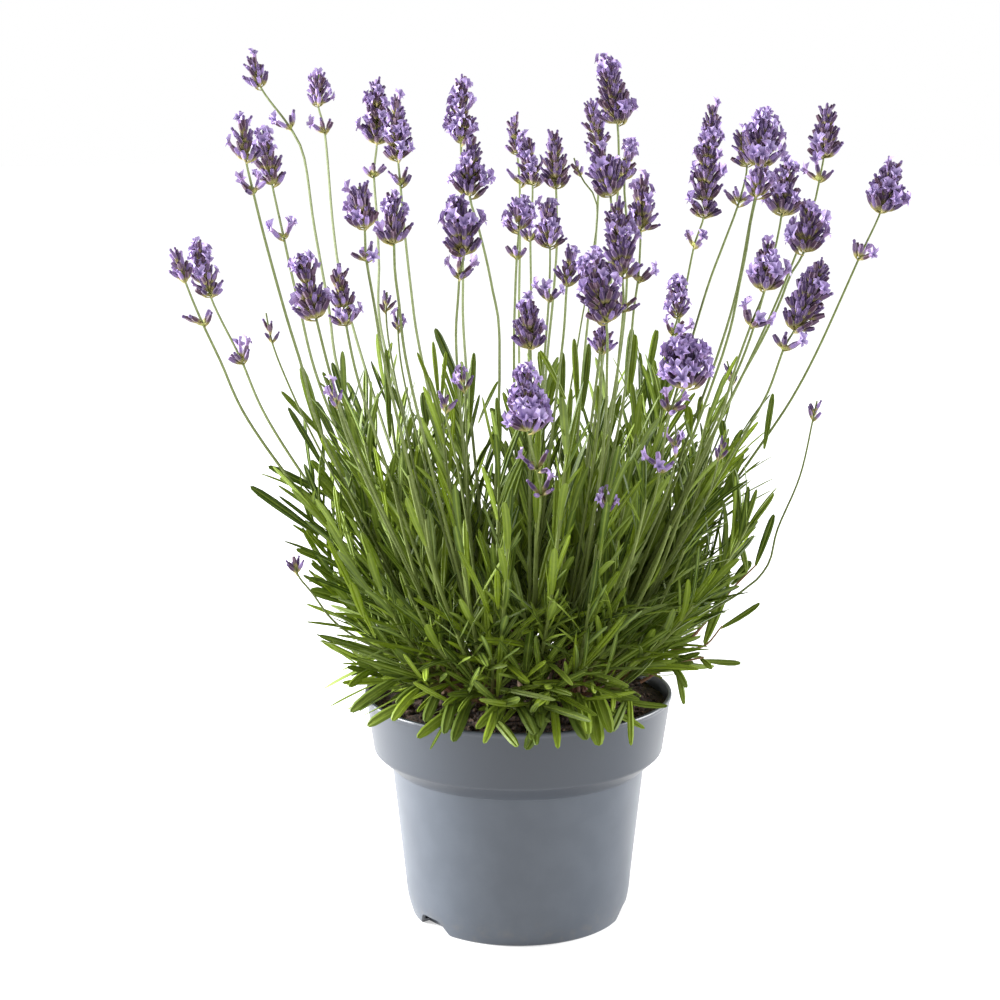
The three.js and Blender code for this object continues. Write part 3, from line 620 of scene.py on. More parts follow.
def waves(places: Array, sizes: tuple[float, ...], seed: int) -> Array:
    """Works out a rough relief.

    Args:
        places: Points in millimetres, two or three numbers to a row.
        sizes: The lengths of the waves, in millimetres, from coarse to fine.
        seed: Which relief.

    Returns:
        A height from about -1 to 1 for each point: the sum of ten cosines in random
        directions for each length, each weighed by its length.
    """
    random = np.random.default_rng(seed)
    number, most = 10, 4.5
    total = np.zeros(len(places))
    for size in sizes:
        towards = unit(random.normal(size=(number, places.shape[1]))) * 2 * math.pi / size
        phases = random.uniform(0, FULL_TURN, number)
        total += np.cos(places @ towards.T + phases).sum(axis=1) * size
    return total / (sum(sizes) * most)


def rounded(corners: list[tuple[float, float, float]], steps: int = 6) -> Array:
    """Rounds the corners of an open outline.

    Args:
        corners: Radius, height and how far before and after the corner it is rounded.
        steps: Points on each rounded corner, less one.

    Returns:
        Radius and height of each point. A rounded corner is a parabola that leaves one
        side and meets the other at the given distance.
    """
    outline = np.array(corners, float)
    points = [outline[:1, :2]]
    share = np.linspace(0, 1, steps + 1)[:, None]
    for before, corner, after in zip(outline, outline[1:], outline[2:]):
        here = corner[:2]
        leave, meet = (here + unit(side[:2] - here) * corner[2] for side in (before, after))
        points.append(mixed(mixed(leave, here, share), mixed(here, meet, share), share))
    points.append(outline[-1:, :2])
    return np.concatenate(points)


def turned(finish: Finish, outline: Array, sides: int) -> Skin:
    """Turns an outline, from axis to axis, round the Z axis into a closed skin.

    Args:
        finish: Its finish.
        outline: Radius and height of each point.
        sides: How many sides the round has.

    Returns:
        The skin.
    """
    angles = ring_angles(sides)
    radii, heights = outline[1:-1, :1], outline[1:-1, 1:]
    level = np.broadcast_to(heights, (len(heights), sides))
    rings = np.stack([radii * np.cos(angles), radii * np.sin(angles), level], axis=-1)[None]
    bottom, top = (np.array([[0.0, 0.0, outline[place, 1]]]) for place in (0, -1))
    return tubes(finish, rings[:, :, ::-1], np.linspace(0, 1, len(heights)), ends=(bottom, top))


@dataclass(frozen=True)
class Pot:
    """The nursery pot: a thin moulded wall with a collar, a rolled lip and three notches."""

    rim_radius: float = 85.0
    rim_height: float = 127.0
    collar_foot_radius: float = 80.0
    collar_foot_height: float = 95.0
    body_top_radius: float = 70.0
    body_top_height: float = 86.0
    body_foot_radius: float = 62.0
    body_foot_height: float = 10.0
    base_radius: float = 59.0
    wall: float = 1.7
    floor: float = 2.4
    sides: int = 240
    crease: float = 35.0
    notch_angles: tuple[float, ...] = (103.0, 218.0, 348.0)
    notch_foot: float = 27.0
    notch_top: float = 15.0
    notch_height: float = 8.0
    notch_depth: float = 7.0

    def outline(self) -> Array:
        """Draws the wall's section: up the outside, over the lip and down the inside.

        Returns:
            Radius and height of each point.
        """
        inside = self.wall
        return rounded([
            (0.0, 0.0, 0.0),
            (self.base_radius, 0.0, 1.6),
            (self.body_foot_radius, self.body_foot_height, 4.5),
            (self.body_top_radius, self.body_top_height, 0.6),
            (self.collar_foot_radius, self.collar_foot_height, 1.3),
            (self.rim_radius - 0.9, self.rim_height - 3.0, 0.7),
            (self.rim_radius, self.rim_height - 1.5, 0.7),
            (self.rim_radius - 0.3, self.rim_height, 0.6),
            (self.rim_radius - 2.2, self.rim_height, 0.6),
            (self.collar_foot_radius - inside, self.collar_foot_height + 0.8, 4.0),
            (self.body_top_radius - inside, self.body_top_height + 0.8, 1.2),
            (self.body_foot_radius - inside, self.body_foot_height, 4.0),
            (self.base_radius - inside, self.floor, 1.2),
            (0.0, self.floor, 0.0),
        ])

    def notch(self, angle: float) -> bpy.types.Object:
        """Makes what is cut away for a notch: a bar through the foot, narrower at its top.

        Args:
            angle: Where round the pot it is, in degrees.

        Returns:
            The bar.
        """
        half, foot, top = self.notch_top / 2, self.notch_foot / 2, self.notch_height
        below = foot + (foot - half) * 2 / top
        edge = rounded([(below, -2.0, 0.0), (half, top, 3.0),
                        (-half, top, 3.0), (-below, -2.0, 0.0)])
        reach = self.base_radius + self.notch_depth * np.array([-1.0, 2.0])
        cosine, sine = math.cos(math.radians(angle)), math.sin(math.radians(angle))
        out, across = np.array([cosine, sine, 0.0]), np.array([-sine, cosine, 0.0])
        flat = edge[:, :1] * across + edge[:, 1:] * UP
        rings = (flat[None] + reach[:, None, None] * out)[None]
        skin = tubes(POLYPROPYLENE, rings, np.zeros(2))
        mesh = bpy.data.meshes.new("notch")
        faces = [face for part in skin.faces for face in part.tolist()]
        mesh.from_pydata((skin.points * MM).tolist(), [], faces)
        return placed("notch", mesh)

    def build(self) -> list[bpy.types.Object]:
        """Builds the pot and cuts its notches.

        Returns:
            The pot.
        """
        shell = turned(POLYPROPYLENE, self.outline(), self.sides)
        piece = piece_of("pot_shell", [shell], Slot.POT, ("pot",), self.crease)
        for angle in self.notch_angles:
            bar = self.notch(angle)
            cut = piece.modifiers.new("notch", "BOOLEAN")
            cut.operation = "DIFFERENCE"
            cut.solver = "EXACT"
            cut.object = bar
            with bpy.context.temp_override(object=piece, active_object=piece):
                bpy.ops.object.modifier_apply(modifier=cut.name)
            bpy.data.objects.remove(bar)
        piece.data.set_sharp_from_angle(angle=math.radians(self.crease))
        return [piece]


@dataclass(frozen=True)
class Branch:
    """One of the plant's branches: its name and its woody foot, in plan."""

    name: str
    x: float
    y: float


BRANCHES = tuple(Branch(*row) for row in (
    ("left", -40, 0), ("left_back", -31, 27), ("left_front", -28, -26), ("front_left", -14, -37),
    ("centre_left", -18, -10), ("back_left", -12, 22), ("back", 3, 40), ("centre", 3, 5),
    ("front", 6, -30), ("centre_right", 20, -8), ("back_right", 24, 30),
    ("front_right", 25, -34), ("right", 42, 4), ("right_front", 40, -18),
))
FEET = np.array([(branch.x, branch.y) for branch in BRANCHES], float)


@dataclass(frozen=True)
class Soil:
    """The potting soil: what fills the pot, higher in the middle, with loose crumbs on it."""

    gap: float = 0.4
    edge_height: float = 121.0
    crown_height: float = 124.0
    crown_share: float = 0.72
    rough: float = 1.3
    mound: float = 7.0
    sunk: float = 0.5
    sides: int = 220
    rings: int = 64
    crumbs: int = 900
    crumb_corners: int = 6
    relief: tuple[float, ...] = (19.0, 8.0, 4.0, 2.4)

    def edge_radius(self, pot: Pot) -> float:
        """Finds how far out the surface reaches, a little inside the sloping wall.

        Args:
            pot: The pot.

        Returns:
            The radius.
        """
        rise = (self.edge_height - pot.collar_foot_height) / (
            pot.rim_height - pot.collar_foot_height)
        return mixed(pot.collar_foot_radius, pot.rim_radius - 0.5, rise) - pot.wall - self.gap

    def height(self, places: Array, pot: Pot) -> Array:
        """Works out the height of the soil's surface.

        Args:
            places: Points in plan.
            pot: The pot that it fills.

        Returns:
            The heights: level in the middle and sloping to the edge, with a rough relief,
            and a small mound round each woody foot.
        """
        flat = pot.collar_foot_radius * self.crown_share
        out = np.hypot(places[:, 0], places[:, 1])
        slope = np.clip((out - flat) / (self.edge_radius(pot) - flat), 0, 1)
        level = mixed(self.crown_height, self.edge_height, slope)
        away = np.linalg.norm(places[:, None] - FEET, axis=2).min(axis=1)
        rough = waves(places, self.relief, Seed.SOIL)
        return level + self.rough * rough + np.exp(-((away / self.mound) ** 2)) - self.sunk

    def bed(self, pot: Pot) -> Skin:
        """Builds the soil's body: a turned underside and a rough top.

        Args:
            pot: The pot.

        Returns:
            The skin. Its top points stand on the soil's surface.
        """
        inside = pot.wall + self.gap
        foot = pot.floor + self.gap
        below = np.array([
            (0.0, foot),
            (pot.base_radius - pot.wall - pot.notch_depth, foot),
            (pot.body_foot_radius - inside, pot.body_foot_height + 2.0),
            (pot.body_top_radius - inside, pot.body_top_height + 1.6),
            (pot.collar_foot_radius - inside, pot.collar_foot_height + 3.0),
            (self.edge_radius(pot), self.edge_height - 1.0),
        ])
        radii = (below[-1, 0] - 0.2) * (1 - np.arange(self.rings) / self.rings)
        top = np.stack([radii, np.full(self.rings, self.crown_height)], axis=1)
        skin = turned(PEAT, np.concatenate([below, top, [(0.0, self.crown_height)]]), self.sides)
        high = skin.points[:, 2] > self.crown_height - 0.01
        skin.points[high, 2] = self.height(skin.points[high, :2], pot)
        return skin

    def loose(self, pot: Pot) -> Skin:
        """Builds loose crumbs and bits of bark, lying half sunk in the surface.

        Args:
            pot: The pot.

        Returns:
            The crumbs: each is a ball of three rings, squashed and turned its own way.
        """
        random = np.random.default_rng(Seed.CRUMBS)
        count = self.crumbs
        radius = (pot.collar_foot_radius - 5) * np.sqrt(random.uniform(0.02, 1, count))
        turn = random.uniform(0, FULL_TURN, count)
        plan = np.stack([radius * np.cos(turn), radius * np.sin(turn)], axis=1)
        size = random.uniform(0.5, 1.7, count) ** 1.4
        axis = unit(random.normal(size=(count, 3)) * (1, 1, 0.5))
        across = unit(np.cross(axis, random.normal(size=(count, 3))))
        third = np.cross(axis, across)
        centre = np.column_stack([plan, self.height(plan, pot) + 0.3 * size])
        long = axis * (random.uniform(0.9, 2.2, count) * size)[:, None]
        polar = np.array([0.28, 0.5, 0.72])[:, None] * math.pi
        bulge = random.uniform(0.7, 1.25, (count, len(polar), self.crumb_corners))
        ring = around(across[:, None, None], third[:, None, None], ring_angles(self.crumb_corners))
        spread = (np.sin(polar) * bulge * size[:, None, None])[..., None]
        lift = -np.cos(polar)[..., None] * long[:, None, None]
        rings = centre[:, None, None] + ring * spread + lift
        return tubes(PEAT, rings, np.linspace(0, 1, len(polar)),
                     tint=random.uniform(0, 1, count), ends=(centre - long, centre + long))

    def build(self, pot: Pot) -> list[bpy.types.Object]:
        """Builds the bed of soil and what lies loose on it.

        Args:
            pot: The pot.

        Returns:
            The two pieces.
        """
        return [
            piece_of("potting_soil", [self.bed(pot)], Slot.SOIL, ("soil",), crease=60.0),
            piece_of("soil_crumbs", [self.loose(pot)], Slot.SOIL),
        ]


class Route:
    """A smooth curve through points: a centripetal Catmull-Rom curve.

    It is read by its share, in which each step between two points counts the same.
    """

    def __init__(self, points: Array) -> None:
        """Adds a point before the first and one after the last, in line with them."""
        self.steps = len(points) - 1
        self.points = np.vstack([2 * points[0] - points[1], points, 2 * points[-1] - points[-2]])

    def at(self, shares: Array | float) -> Array:
        """Gives the points at shares from 0 to 1.

        Between two points it is the cubic that leaves and meets them with the slopes of
        the parabolas through their neighbours, timed by the square root of each distance.

        Args:
            shares: The shares.

        Returns:
            The points.
        """
        place = np.clip(np.atleast_1d(shares), 0, 1) * self.steps
        step = np.minimum(place.astype(int), self.steps - 1)
        part = (place - step)[:, None]
        a, b, c, d = (self.points[step + offset] for offset in range(4))
        ab, bc, cd = (np.sum((q - p) ** 2, axis=1, keepdims=True) ** 0.25
                      for p, q in ((a, b), (b, c), (c, d)))
        leave = ((b - a) / ab - (c - a) / (ab + bc) + (c - b) / bc) * bc
        meet = ((c - b) / bc - (d - b) / (bc + cd) + (d - c) / cd) * bc
        return (b + leave * part + (3 * (c - b) - 2 * leave - meet) * part**2
                + (2 * (b - c) + leave + meet) * part**3)

    def towards(self, share: float) -> Array:
        """Gives the direction at a share."""
        near = 1e-4
        return unit(self.at(share + near)[0] - self.at(share - near)[0])


class Arch:
    """A plain bent way: a quadratic curve from a root by a middle to a tip."""

    def __init__(self, root: Array, middle: Array, tip: Array) -> None:
        """Keeps the three points."""
        self.root, self.middle, self.tip = root, middle, tip

    def at(self, shares: Array | float) -> Array:
        """Gives the points at shares: two straight lines mixed by the share."""
        part = np.atleast_1d(shares)[:, None]
        return mixed(mixed(self.root, self.middle, part), mixed(self.middle, self.tip, part), part)


class Path:
    """A way along a stem, read by the distance along it, with directions that don't twist."""

    steps = 32

    def __init__(self, curve: Route | Arch, start: float = 0.0, end: float = 1.0) -> None:
        """Walks part of a curve, and carries the across direction on from point to point.

        Args:
            curve: The curve.
            start: The share at which the way starts.
            end: The share at which it ends.
        """
        self.points = curve.at(np.linspace(start, end, self.steps + 1))
        before, after = np.r_[0, 0:self.steps], np.r_[1:self.steps + 1, self.steps]
        self.along = unit(self.points[after] - self.points[before])
        guide = np.eye(3)[1 if abs(self.along[0, 1]) < 0.9 else 2]
        carried = []
        for along in self.along:
            guide = unit(guide - along * (guide @ along))
            carried.append(guide)
        self.across = np.array(carried)
        self.third = np.cross(self.along, self.across)
        lengths = np.linalg.norm(np.diff(self.points, axis=0), axis=1)
        self.reached = np.concatenate([[0.0], np.cumsum(lengths)])
        self.length = self.reached[-1]

    def at(self, distances: Array) -> tuple[Array, Array, Array, Array]:
        """Gives the points at distances, and the directions along, across and third.

        Args:
            distances: The distances.

        Returns:
            Points and three directions, a row for each.
        """
        after = np.clip(np.searchsorted(self.reached, distances), 1, self.steps)
        gap = self.reached[after] - self.reached[after - 1]
        part = ((distances - self.reached[after - 1]) / gap)[:, None]
        points = mixed(self.points[after - 1], self.points[after], part)
        return points, self.along[after], self.across[after], self.third[after]

    def stem(self, stations: int, ends: tuple[float, ...], run: tuple[float, float],
             section: Array = ROUND) -> Skin:
        """Carries a section along the way.

        Args:
            stations: How many rings it has.
            ends: The radii at its two ends.
            run: What the finish reads there.
            section: The section's radius at each corner, as a share.

        Returns:
            The closed stem.
        """
        shares = np.linspace(0, 1, stations)
        points, _, across, third = self.at(shares * self.length)
        turn = SQUARE_TURN if section is SQUARE else 0.0
        spokes = around(across[:, None], third[:, None], ring_angles(len(section), turn))
        radii = mixed(*ends, shares)[:, None] * section
        rings = points[:, None] + spokes * radii[..., None]
        return tubes(STEM, rings[None], mixed(*run, shares), ends=(points[:1], points[-1:]))


class Rows:
    """A batch whose fields are arrays with a row for each leaf or flower."""

    def only(self, kept: Array) -> Self:
        """Keeps the rows that a mask names."""
        return type(self)(**{name: value[kept] for name, value in vars(self).items()})

    @classmethod
    def together(cls, batches: list[Self]) -> Self:
        """Joins batches into one."""
        return cls(**{name: np.concatenate([getattr(batch, name) for batch in batches])
                      for name in vars(batches[0])})


@dataclass
class Leaves(Rows):
    """A batch of leaves.

    A leaf's middle line leaves its root in its direction, and bends back from its face
    and aside by the square of the share gone.
    """

    root: Array
    direction: Array
    face: Array
    side: Array
    length: Array
    width: Array
    bend: Array
    sway: Array
    tint: Array

    def middle(self, shares: Array) -> Array:
        """Gives points along the middle lines, as (leaves, shares, 3).

        Args:
            shares: Shares of the length.

        Returns:
            The points.
        """
        part = shares[None, :, None]
        long = self.length[:, None, None]
        return (self.root[:, None] + self.direction[:, None] * long * part
                - self.face[:, None] * self.bend[:, None, None] * long * part**2
                + self.side[:, None] * self.sway[:, None, None] * long * part**2)


@dataclass(frozen=True)
class LeafForm:
    """The form that a batch of leaves is drawn with.

    shares and widths are where the rings stand and how wide the blade is there; across
    and up are the section's corners, in half widths, counterclockwise from the right
    edge over the upper side; ribs says how far each corner lies from the midrib, past 1
    on the underside.
    """

    shares: tuple[float, ...]
    widths: tuple[float, ...]
    across: tuple[float, ...]
    up: tuple[float, ...]
    ribs: tuple[float, ...]
    least: float = 0.55

    def skin(self, leaves: Leaves, finish: Finish) -> Skin:
        """Builds the leaves.

        Args:
            leaves: The batch.
            finish: Its finish.

        Returns:
            The blades: the section, scaled by half the width there, stands at each share
            of the middle line on the leaf's side and face directions.
        """
        shares = np.array(self.shares)
        half = leaves.width[:, None] / 2 * np.array(self.widths)
        thick = np.maximum(half, self.least)
        aside, upward = (way[:, None, None] * (size[..., None] * np.array(corners))[..., None]
                         for way, size, corners in ((leaves.side, half, self.across),
                                                    (leaves.face, thick, self.up)))
        rings = leaves.middle(shares)[:, :, None] + aside + upward
        ends = leaves.middle(np.array([0.0, 1.0]))
        return tubes(finish, rings, shares, np.array(self.ribs), leaves.tint,
                     (ends[:, 0], ends[:, 1]))


BLADE = LeafForm(
    shares=(0.04, 0.2, 0.44, 0.67, 0.86, 0.97),
    widths=(0.4, 0.7, 0.94, 1.0, 0.88, 0.5),
    across=(1.0, 0.55, 0.0, -0.55, -1.0, 0.0),
    up=(-0.1, 0.2, -0.08, 0.2, -0.1, -0.26),
    ribs=(1.0, 0.5, 0.0, 0.5, 1.0, 2.0),
)
LEAFLET = LeafForm(
    shares=(0.05, 0.45, 0.8),
    widths=(0.3, 0.9, 0.55),
    across=(1.0, 0.0, -1.0, 0.0),
    up=(0.1, -0.02, 0.1, -0.2),
    ribs=(1.0, 0.0, 1.0, 2.0),
)
SCALE = LeafForm(
    shares=(0.06, 0.3, 0.6, 0.85),
    widths=(0.5, 1.0, 0.85, 0.4),
    across=(1.0, 0.0, -1.0, 0.0),
    up=(0.25, 0.0, 0.25, -0.15),
    ribs=(1.0, 0.0, 1.0, 0.6),
)


@dataclass(frozen=True)
class Flower:
    """A flower spike, by what the photograph shows of it in pixels.

    tip and foot are the ends of its head, whorls the separate whorls below it and stalk
    the points of its stalk going down. depth says how far behind the pot's axis the head
    stands and width is half the head's width, in millimetres. bloom is the share of its
    flowers that are open.
    """

    branch: str
    depth: float
    width: float
    bloom: float
    tip: tuple[float, float]
    foot: tuple[float, float]
    whorls: tuple[tuple[float, float], ...]
    stalk: tuple[tuple[float, float], ...]


SPIKES = tuple(Flower(*row) for row in (
    ("left", -25, 7, 0.12, (174, 246), (185.5, 282), ((202, 322),), ((220, 360), (248, 420))),
    ("left", 15, 8.5, 0.2, (195.7, 240), (210.4, 296), ((240.4, 358),), ((268, 420),)),
    ("left", -60, 8.5, 0.12, (241, 112), (246, 160), ((252.5, 189),),
     ((262, 228), (273.5, 271), (288, 322), (302, 367), (316, 420))),
    ("left", -15, 8.5, 0.14, (261, 127), (272, 184), ((283, 234),),
     ((293, 280), (300, 309), (318, 380))),
    ("left_back", 80, 8, 0.05, (249, 52), (260, 86), ((289, 126),),
     ((302, 150), (314, 225), (329, 309), (339, 373))),
    ("left_back", 130, 7.5, 0.12, (319, 69), (318, 104), ((324, 128),),
     ((333, 225), (340, 275), (359, 348))),
    ("left_front", -105, 10, 0.3, (300, 250), (315.6, 316), (), ((332, 380), (352, 440))),
    ("left_front", -72, 8.5, 0.08, (336, 262), (346, 324), (), ((356, 372), (374, 430))),
    ("left_front", -120, 9.5, 0.25, (358, 180), (364.5, 226), ((366, 256),),
     ((374, 303), (384, 360))),
    ("front_left", -92, 10, 0.3, (392, 190), (394, 242), (),
     ((395, 272), (399, 303), (406, 360))),
    ("back_left", 90, 9.5, 0.22, (376, 78), (377, 143), ((374, 172),),
     ((377, 218), (379, 262), (381, 330))),
    ("back_left", 40, 9, 0.15, (395, 94), (398, 159), ((400, 180),),
     ((405, 235), (411, 289), (418, 340))),
    ("back_left", 120, 9, 0.2, (461, 73), (461, 142), (), ((462, 200), (463, 276), (463.5, 330))),
    ("centre_left", 25, 10, 0.25, (473, 134), (469, 193), (),
     ((477, 222), (487, 262), (493, 292), (499, 326))),
    ("centre_left", -40, 13, 0.4, (456, 192), (464, 254), ((460, 273),),
     ((458, 300), (456, 330), (458, 380))),
    ("back", 150, 7.5, 0.05, (512, 113), (517, 152), ((519.5, 180),), ((520, 240), (519, 320))),
    ("back", 100, 8.5, 0.12, (526, 133), (532.5, 184), ((530.5, 236),), ((531, 294), (529, 350))),
    ("centre", 55, 9.5, 0.08, (553, 126), (556, 186), (), ((557, 240), (553, 300), (547, 360))),
    ("centre", -8, 8, 0.4, (520, 196), (519, 229), ((517, 254),), ((515, 300), (514, 360))),
    ("centre", 15, 9, 0.12, (547, 198), (550, 246), ((549, 296),), ((545, 350), (541, 400))),
    ("centre", -28, 7.5, 0.15, (572, 246), (567, 284), (), ((564, 330), (557, 390))),
    ("front", -70, 10, 0.2, (528, 296), (530.5, 347), (), ((531, 390), (530, 450))),
    ("front", -130, 10, 0.4, (524, 364), (528, 431), ((536, 466), (541, 492)),
     ((537, 540), (536, 600))),
    ("back_right", 75, 11.5, 0.25, (605, 57), (617.4, 122), (),
     ((618, 190), (612, 270), (604, 350))),
    ("back_right", 130, 8, 0.08, (590, 95), (598.3, 146), (),
     ((597, 220), (590, 300), (583, 370))),
    ("centre_right", 0, 11.5, 0.2, (597, 141), (610.4, 193), (),
     ((610, 250), (604, 320), (594, 400))),
    ("centre_right", 32, 7.5, 0.45, (631, 136), (624.4, 178), (),
     ((627, 230), (626, 300), (616, 380))),
    ("centre_right", -30, 9, 0.3, (643.5, 175), (641, 229), ((638.4, 277),),
     ((634, 308), (630, 350), (620, 420))),
    ("centre_right", -62, 10, 0.12, (616, 197), (622.4, 274), ((623.5, 305.5),),
     ((619.5, 350), (612, 420))),
    ("front_right", -98, 12, 0.3, (588, 248), (606, 320), (), ((607, 370), (604, 440))),
    ("centre_right", -45, 8, 0.15, (602, 322), (602, 352), (), ((600, 400), (595, 450))),
    ("back_right", 110, 10, 0.2, (713, 101), (704, 216), ((695, 243),), ((685, 291), (672, 350))),
    ("back_right", 40, 7, 0.35, (679.5, 278), (678, 316), ((674, 330),),
     ((664, 390), (652, 440))),
    ("front_right", -112, 13, 0.35, (683, 326), (687, 385), ((670.6, 409), (660.5, 468)),
     ((650, 510),)),
    ("right", -5, 13.5, 0.3, (764, 106), (761, 165), (), ((750, 222), (737, 290), (716, 360))),
    ("right", 60, 8.5, 0.15, (740, 126), (747, 165), ((740, 199),),
     ((723, 245.5), (711, 277), (696, 325))),
    ("right", 28, 11, 0.25, (788, 158), (782, 213), (), ((776, 245), (762, 300), (742, 360))),
    ("right", 75, 10.5, 0.1, (829, 99), (824, 156), ((820, 177),),
     ((815, 201), (793, 262), (764, 330))),
    ("right", 10, 11, 0.28, (897, 157), (881, 211), ((861, 254),),
     ((840, 301), (818.6, 348), (799, 386), (778, 420))),
    ("right", -32, 10.5, 0.2, (811, 195), (805, 250), (),
     ((791, 274), (780, 302), (762, 340), (740, 380))),
    ("right_front", -45, 8, 0.35, (764, 162), (756.5, 196), (),
     ((751, 220), (746, 252), (739.5, 284), (727, 341))),
    ("right_front", -85, 10.5, 0.25, (769, 236), (765, 288), ((752, 322),),
     ((734, 372), (716, 430))),
    ("right_front", -62, 13, 0.2, (826, 256), (795.6, 328), ((785, 346),),
     ((768, 392), (747, 430))),
))
BUDS = tuple(Flower(*row) for row in (
    ("left", -45, 3, 0.0, (266, 313), (272, 342), (), ((295, 399), (325, 460))),
    ("left_front", -60, 3, 0.3, (387, 292), (386, 311), (), ((390, 350),)),
    ("front_left", -66, 3, 0.3, (398, 307), (398, 333), (), ((404, 380),)),
    ("left_front", -135, 3, 0.3, (330, 379), (337, 405), (), ((352, 450),)),
    ("front_left", -110, 3, 0.0, (445.5, 388), (445.5, 411), (), ((458, 468),)),
    ("centre_left", -75, 3, 0.6, (461, 367), (464.6, 391), (), ((467, 450), (469, 540))),
    ("right", 45, 3, 0.0, (727, 361), (732, 383), (), ((722, 430),)),
    ("right", -15, 3, 0.0, (817, 401), (813, 419), (), ((800, 476), (777.5, 529), (762, 574))),
    ("front_right", -90, 3, 0.4, (675.5, 425), (675.5, 454), (), ((664, 500),)),
    ("right_front", -70, 3, 0.0, (728.6, 429), (719.4, 457), (), ((706, 500),)),
    ("front", -95, 3, 0.5, (607, 490), (606, 512), (), ((596, 560),)),
    ("left_front", -90, 3, 0.0, (294, 559), (297, 573), (), ((311.5, 592), (344.6, 630))),
    ("centre", 95, 3, 0.0, (574, 158), (580, 176), (), ((596, 200), (592, 260), (580, 330))),
))


@dataclass(frozen=True)
class Sprays:
    """Single leaves of a branch, set where the photograph shows them, a row each.

    A row has the pixel of the leaf's root, the pixel of its tip, how far behind the pot's
    axis these two lie, its width in millimetres, how far its middle stands off the line
    between its ends, and its tint.
    """

    branch: str
    rows: tuple[tuple[float, ...], ...]

    def leaves(self) -> Leaves:
        """Sets the leaves.

        Returns:
            The batch. With the chord c from root to tip and the face n square to it,
            turned to the front and up, the middle line at share s is c s plus
            4 a n s (1 - s) away from the root, where a is the arch.
        """
        rows = np.array(self.rows, float)
        width, arch, tint = rows[:, 6], 4.0 * rows[:, 7], rows[:, 8]
        root = VIEW.seen_at(rows[:, 0:2], rows[:, 4])
        chord = VIEW.seen_at(rows[:, 2:4], rows[:, 5]) - root
        front = np.array([0.0, -0.8, 0.6])
        face = unit(front - chord * (chord @ front / np.sum(chord**2, axis=1))[:, None])
        way = chord + face * arch[:, None]
        length = np.linalg.norm(way, axis=1)
        return Leaves(root=root, direction=unit(way), face=face, side=unit(np.cross(face, way)),
                      length=length, width=width, bend=arch / length, sway=0 * arch, tint=tint)


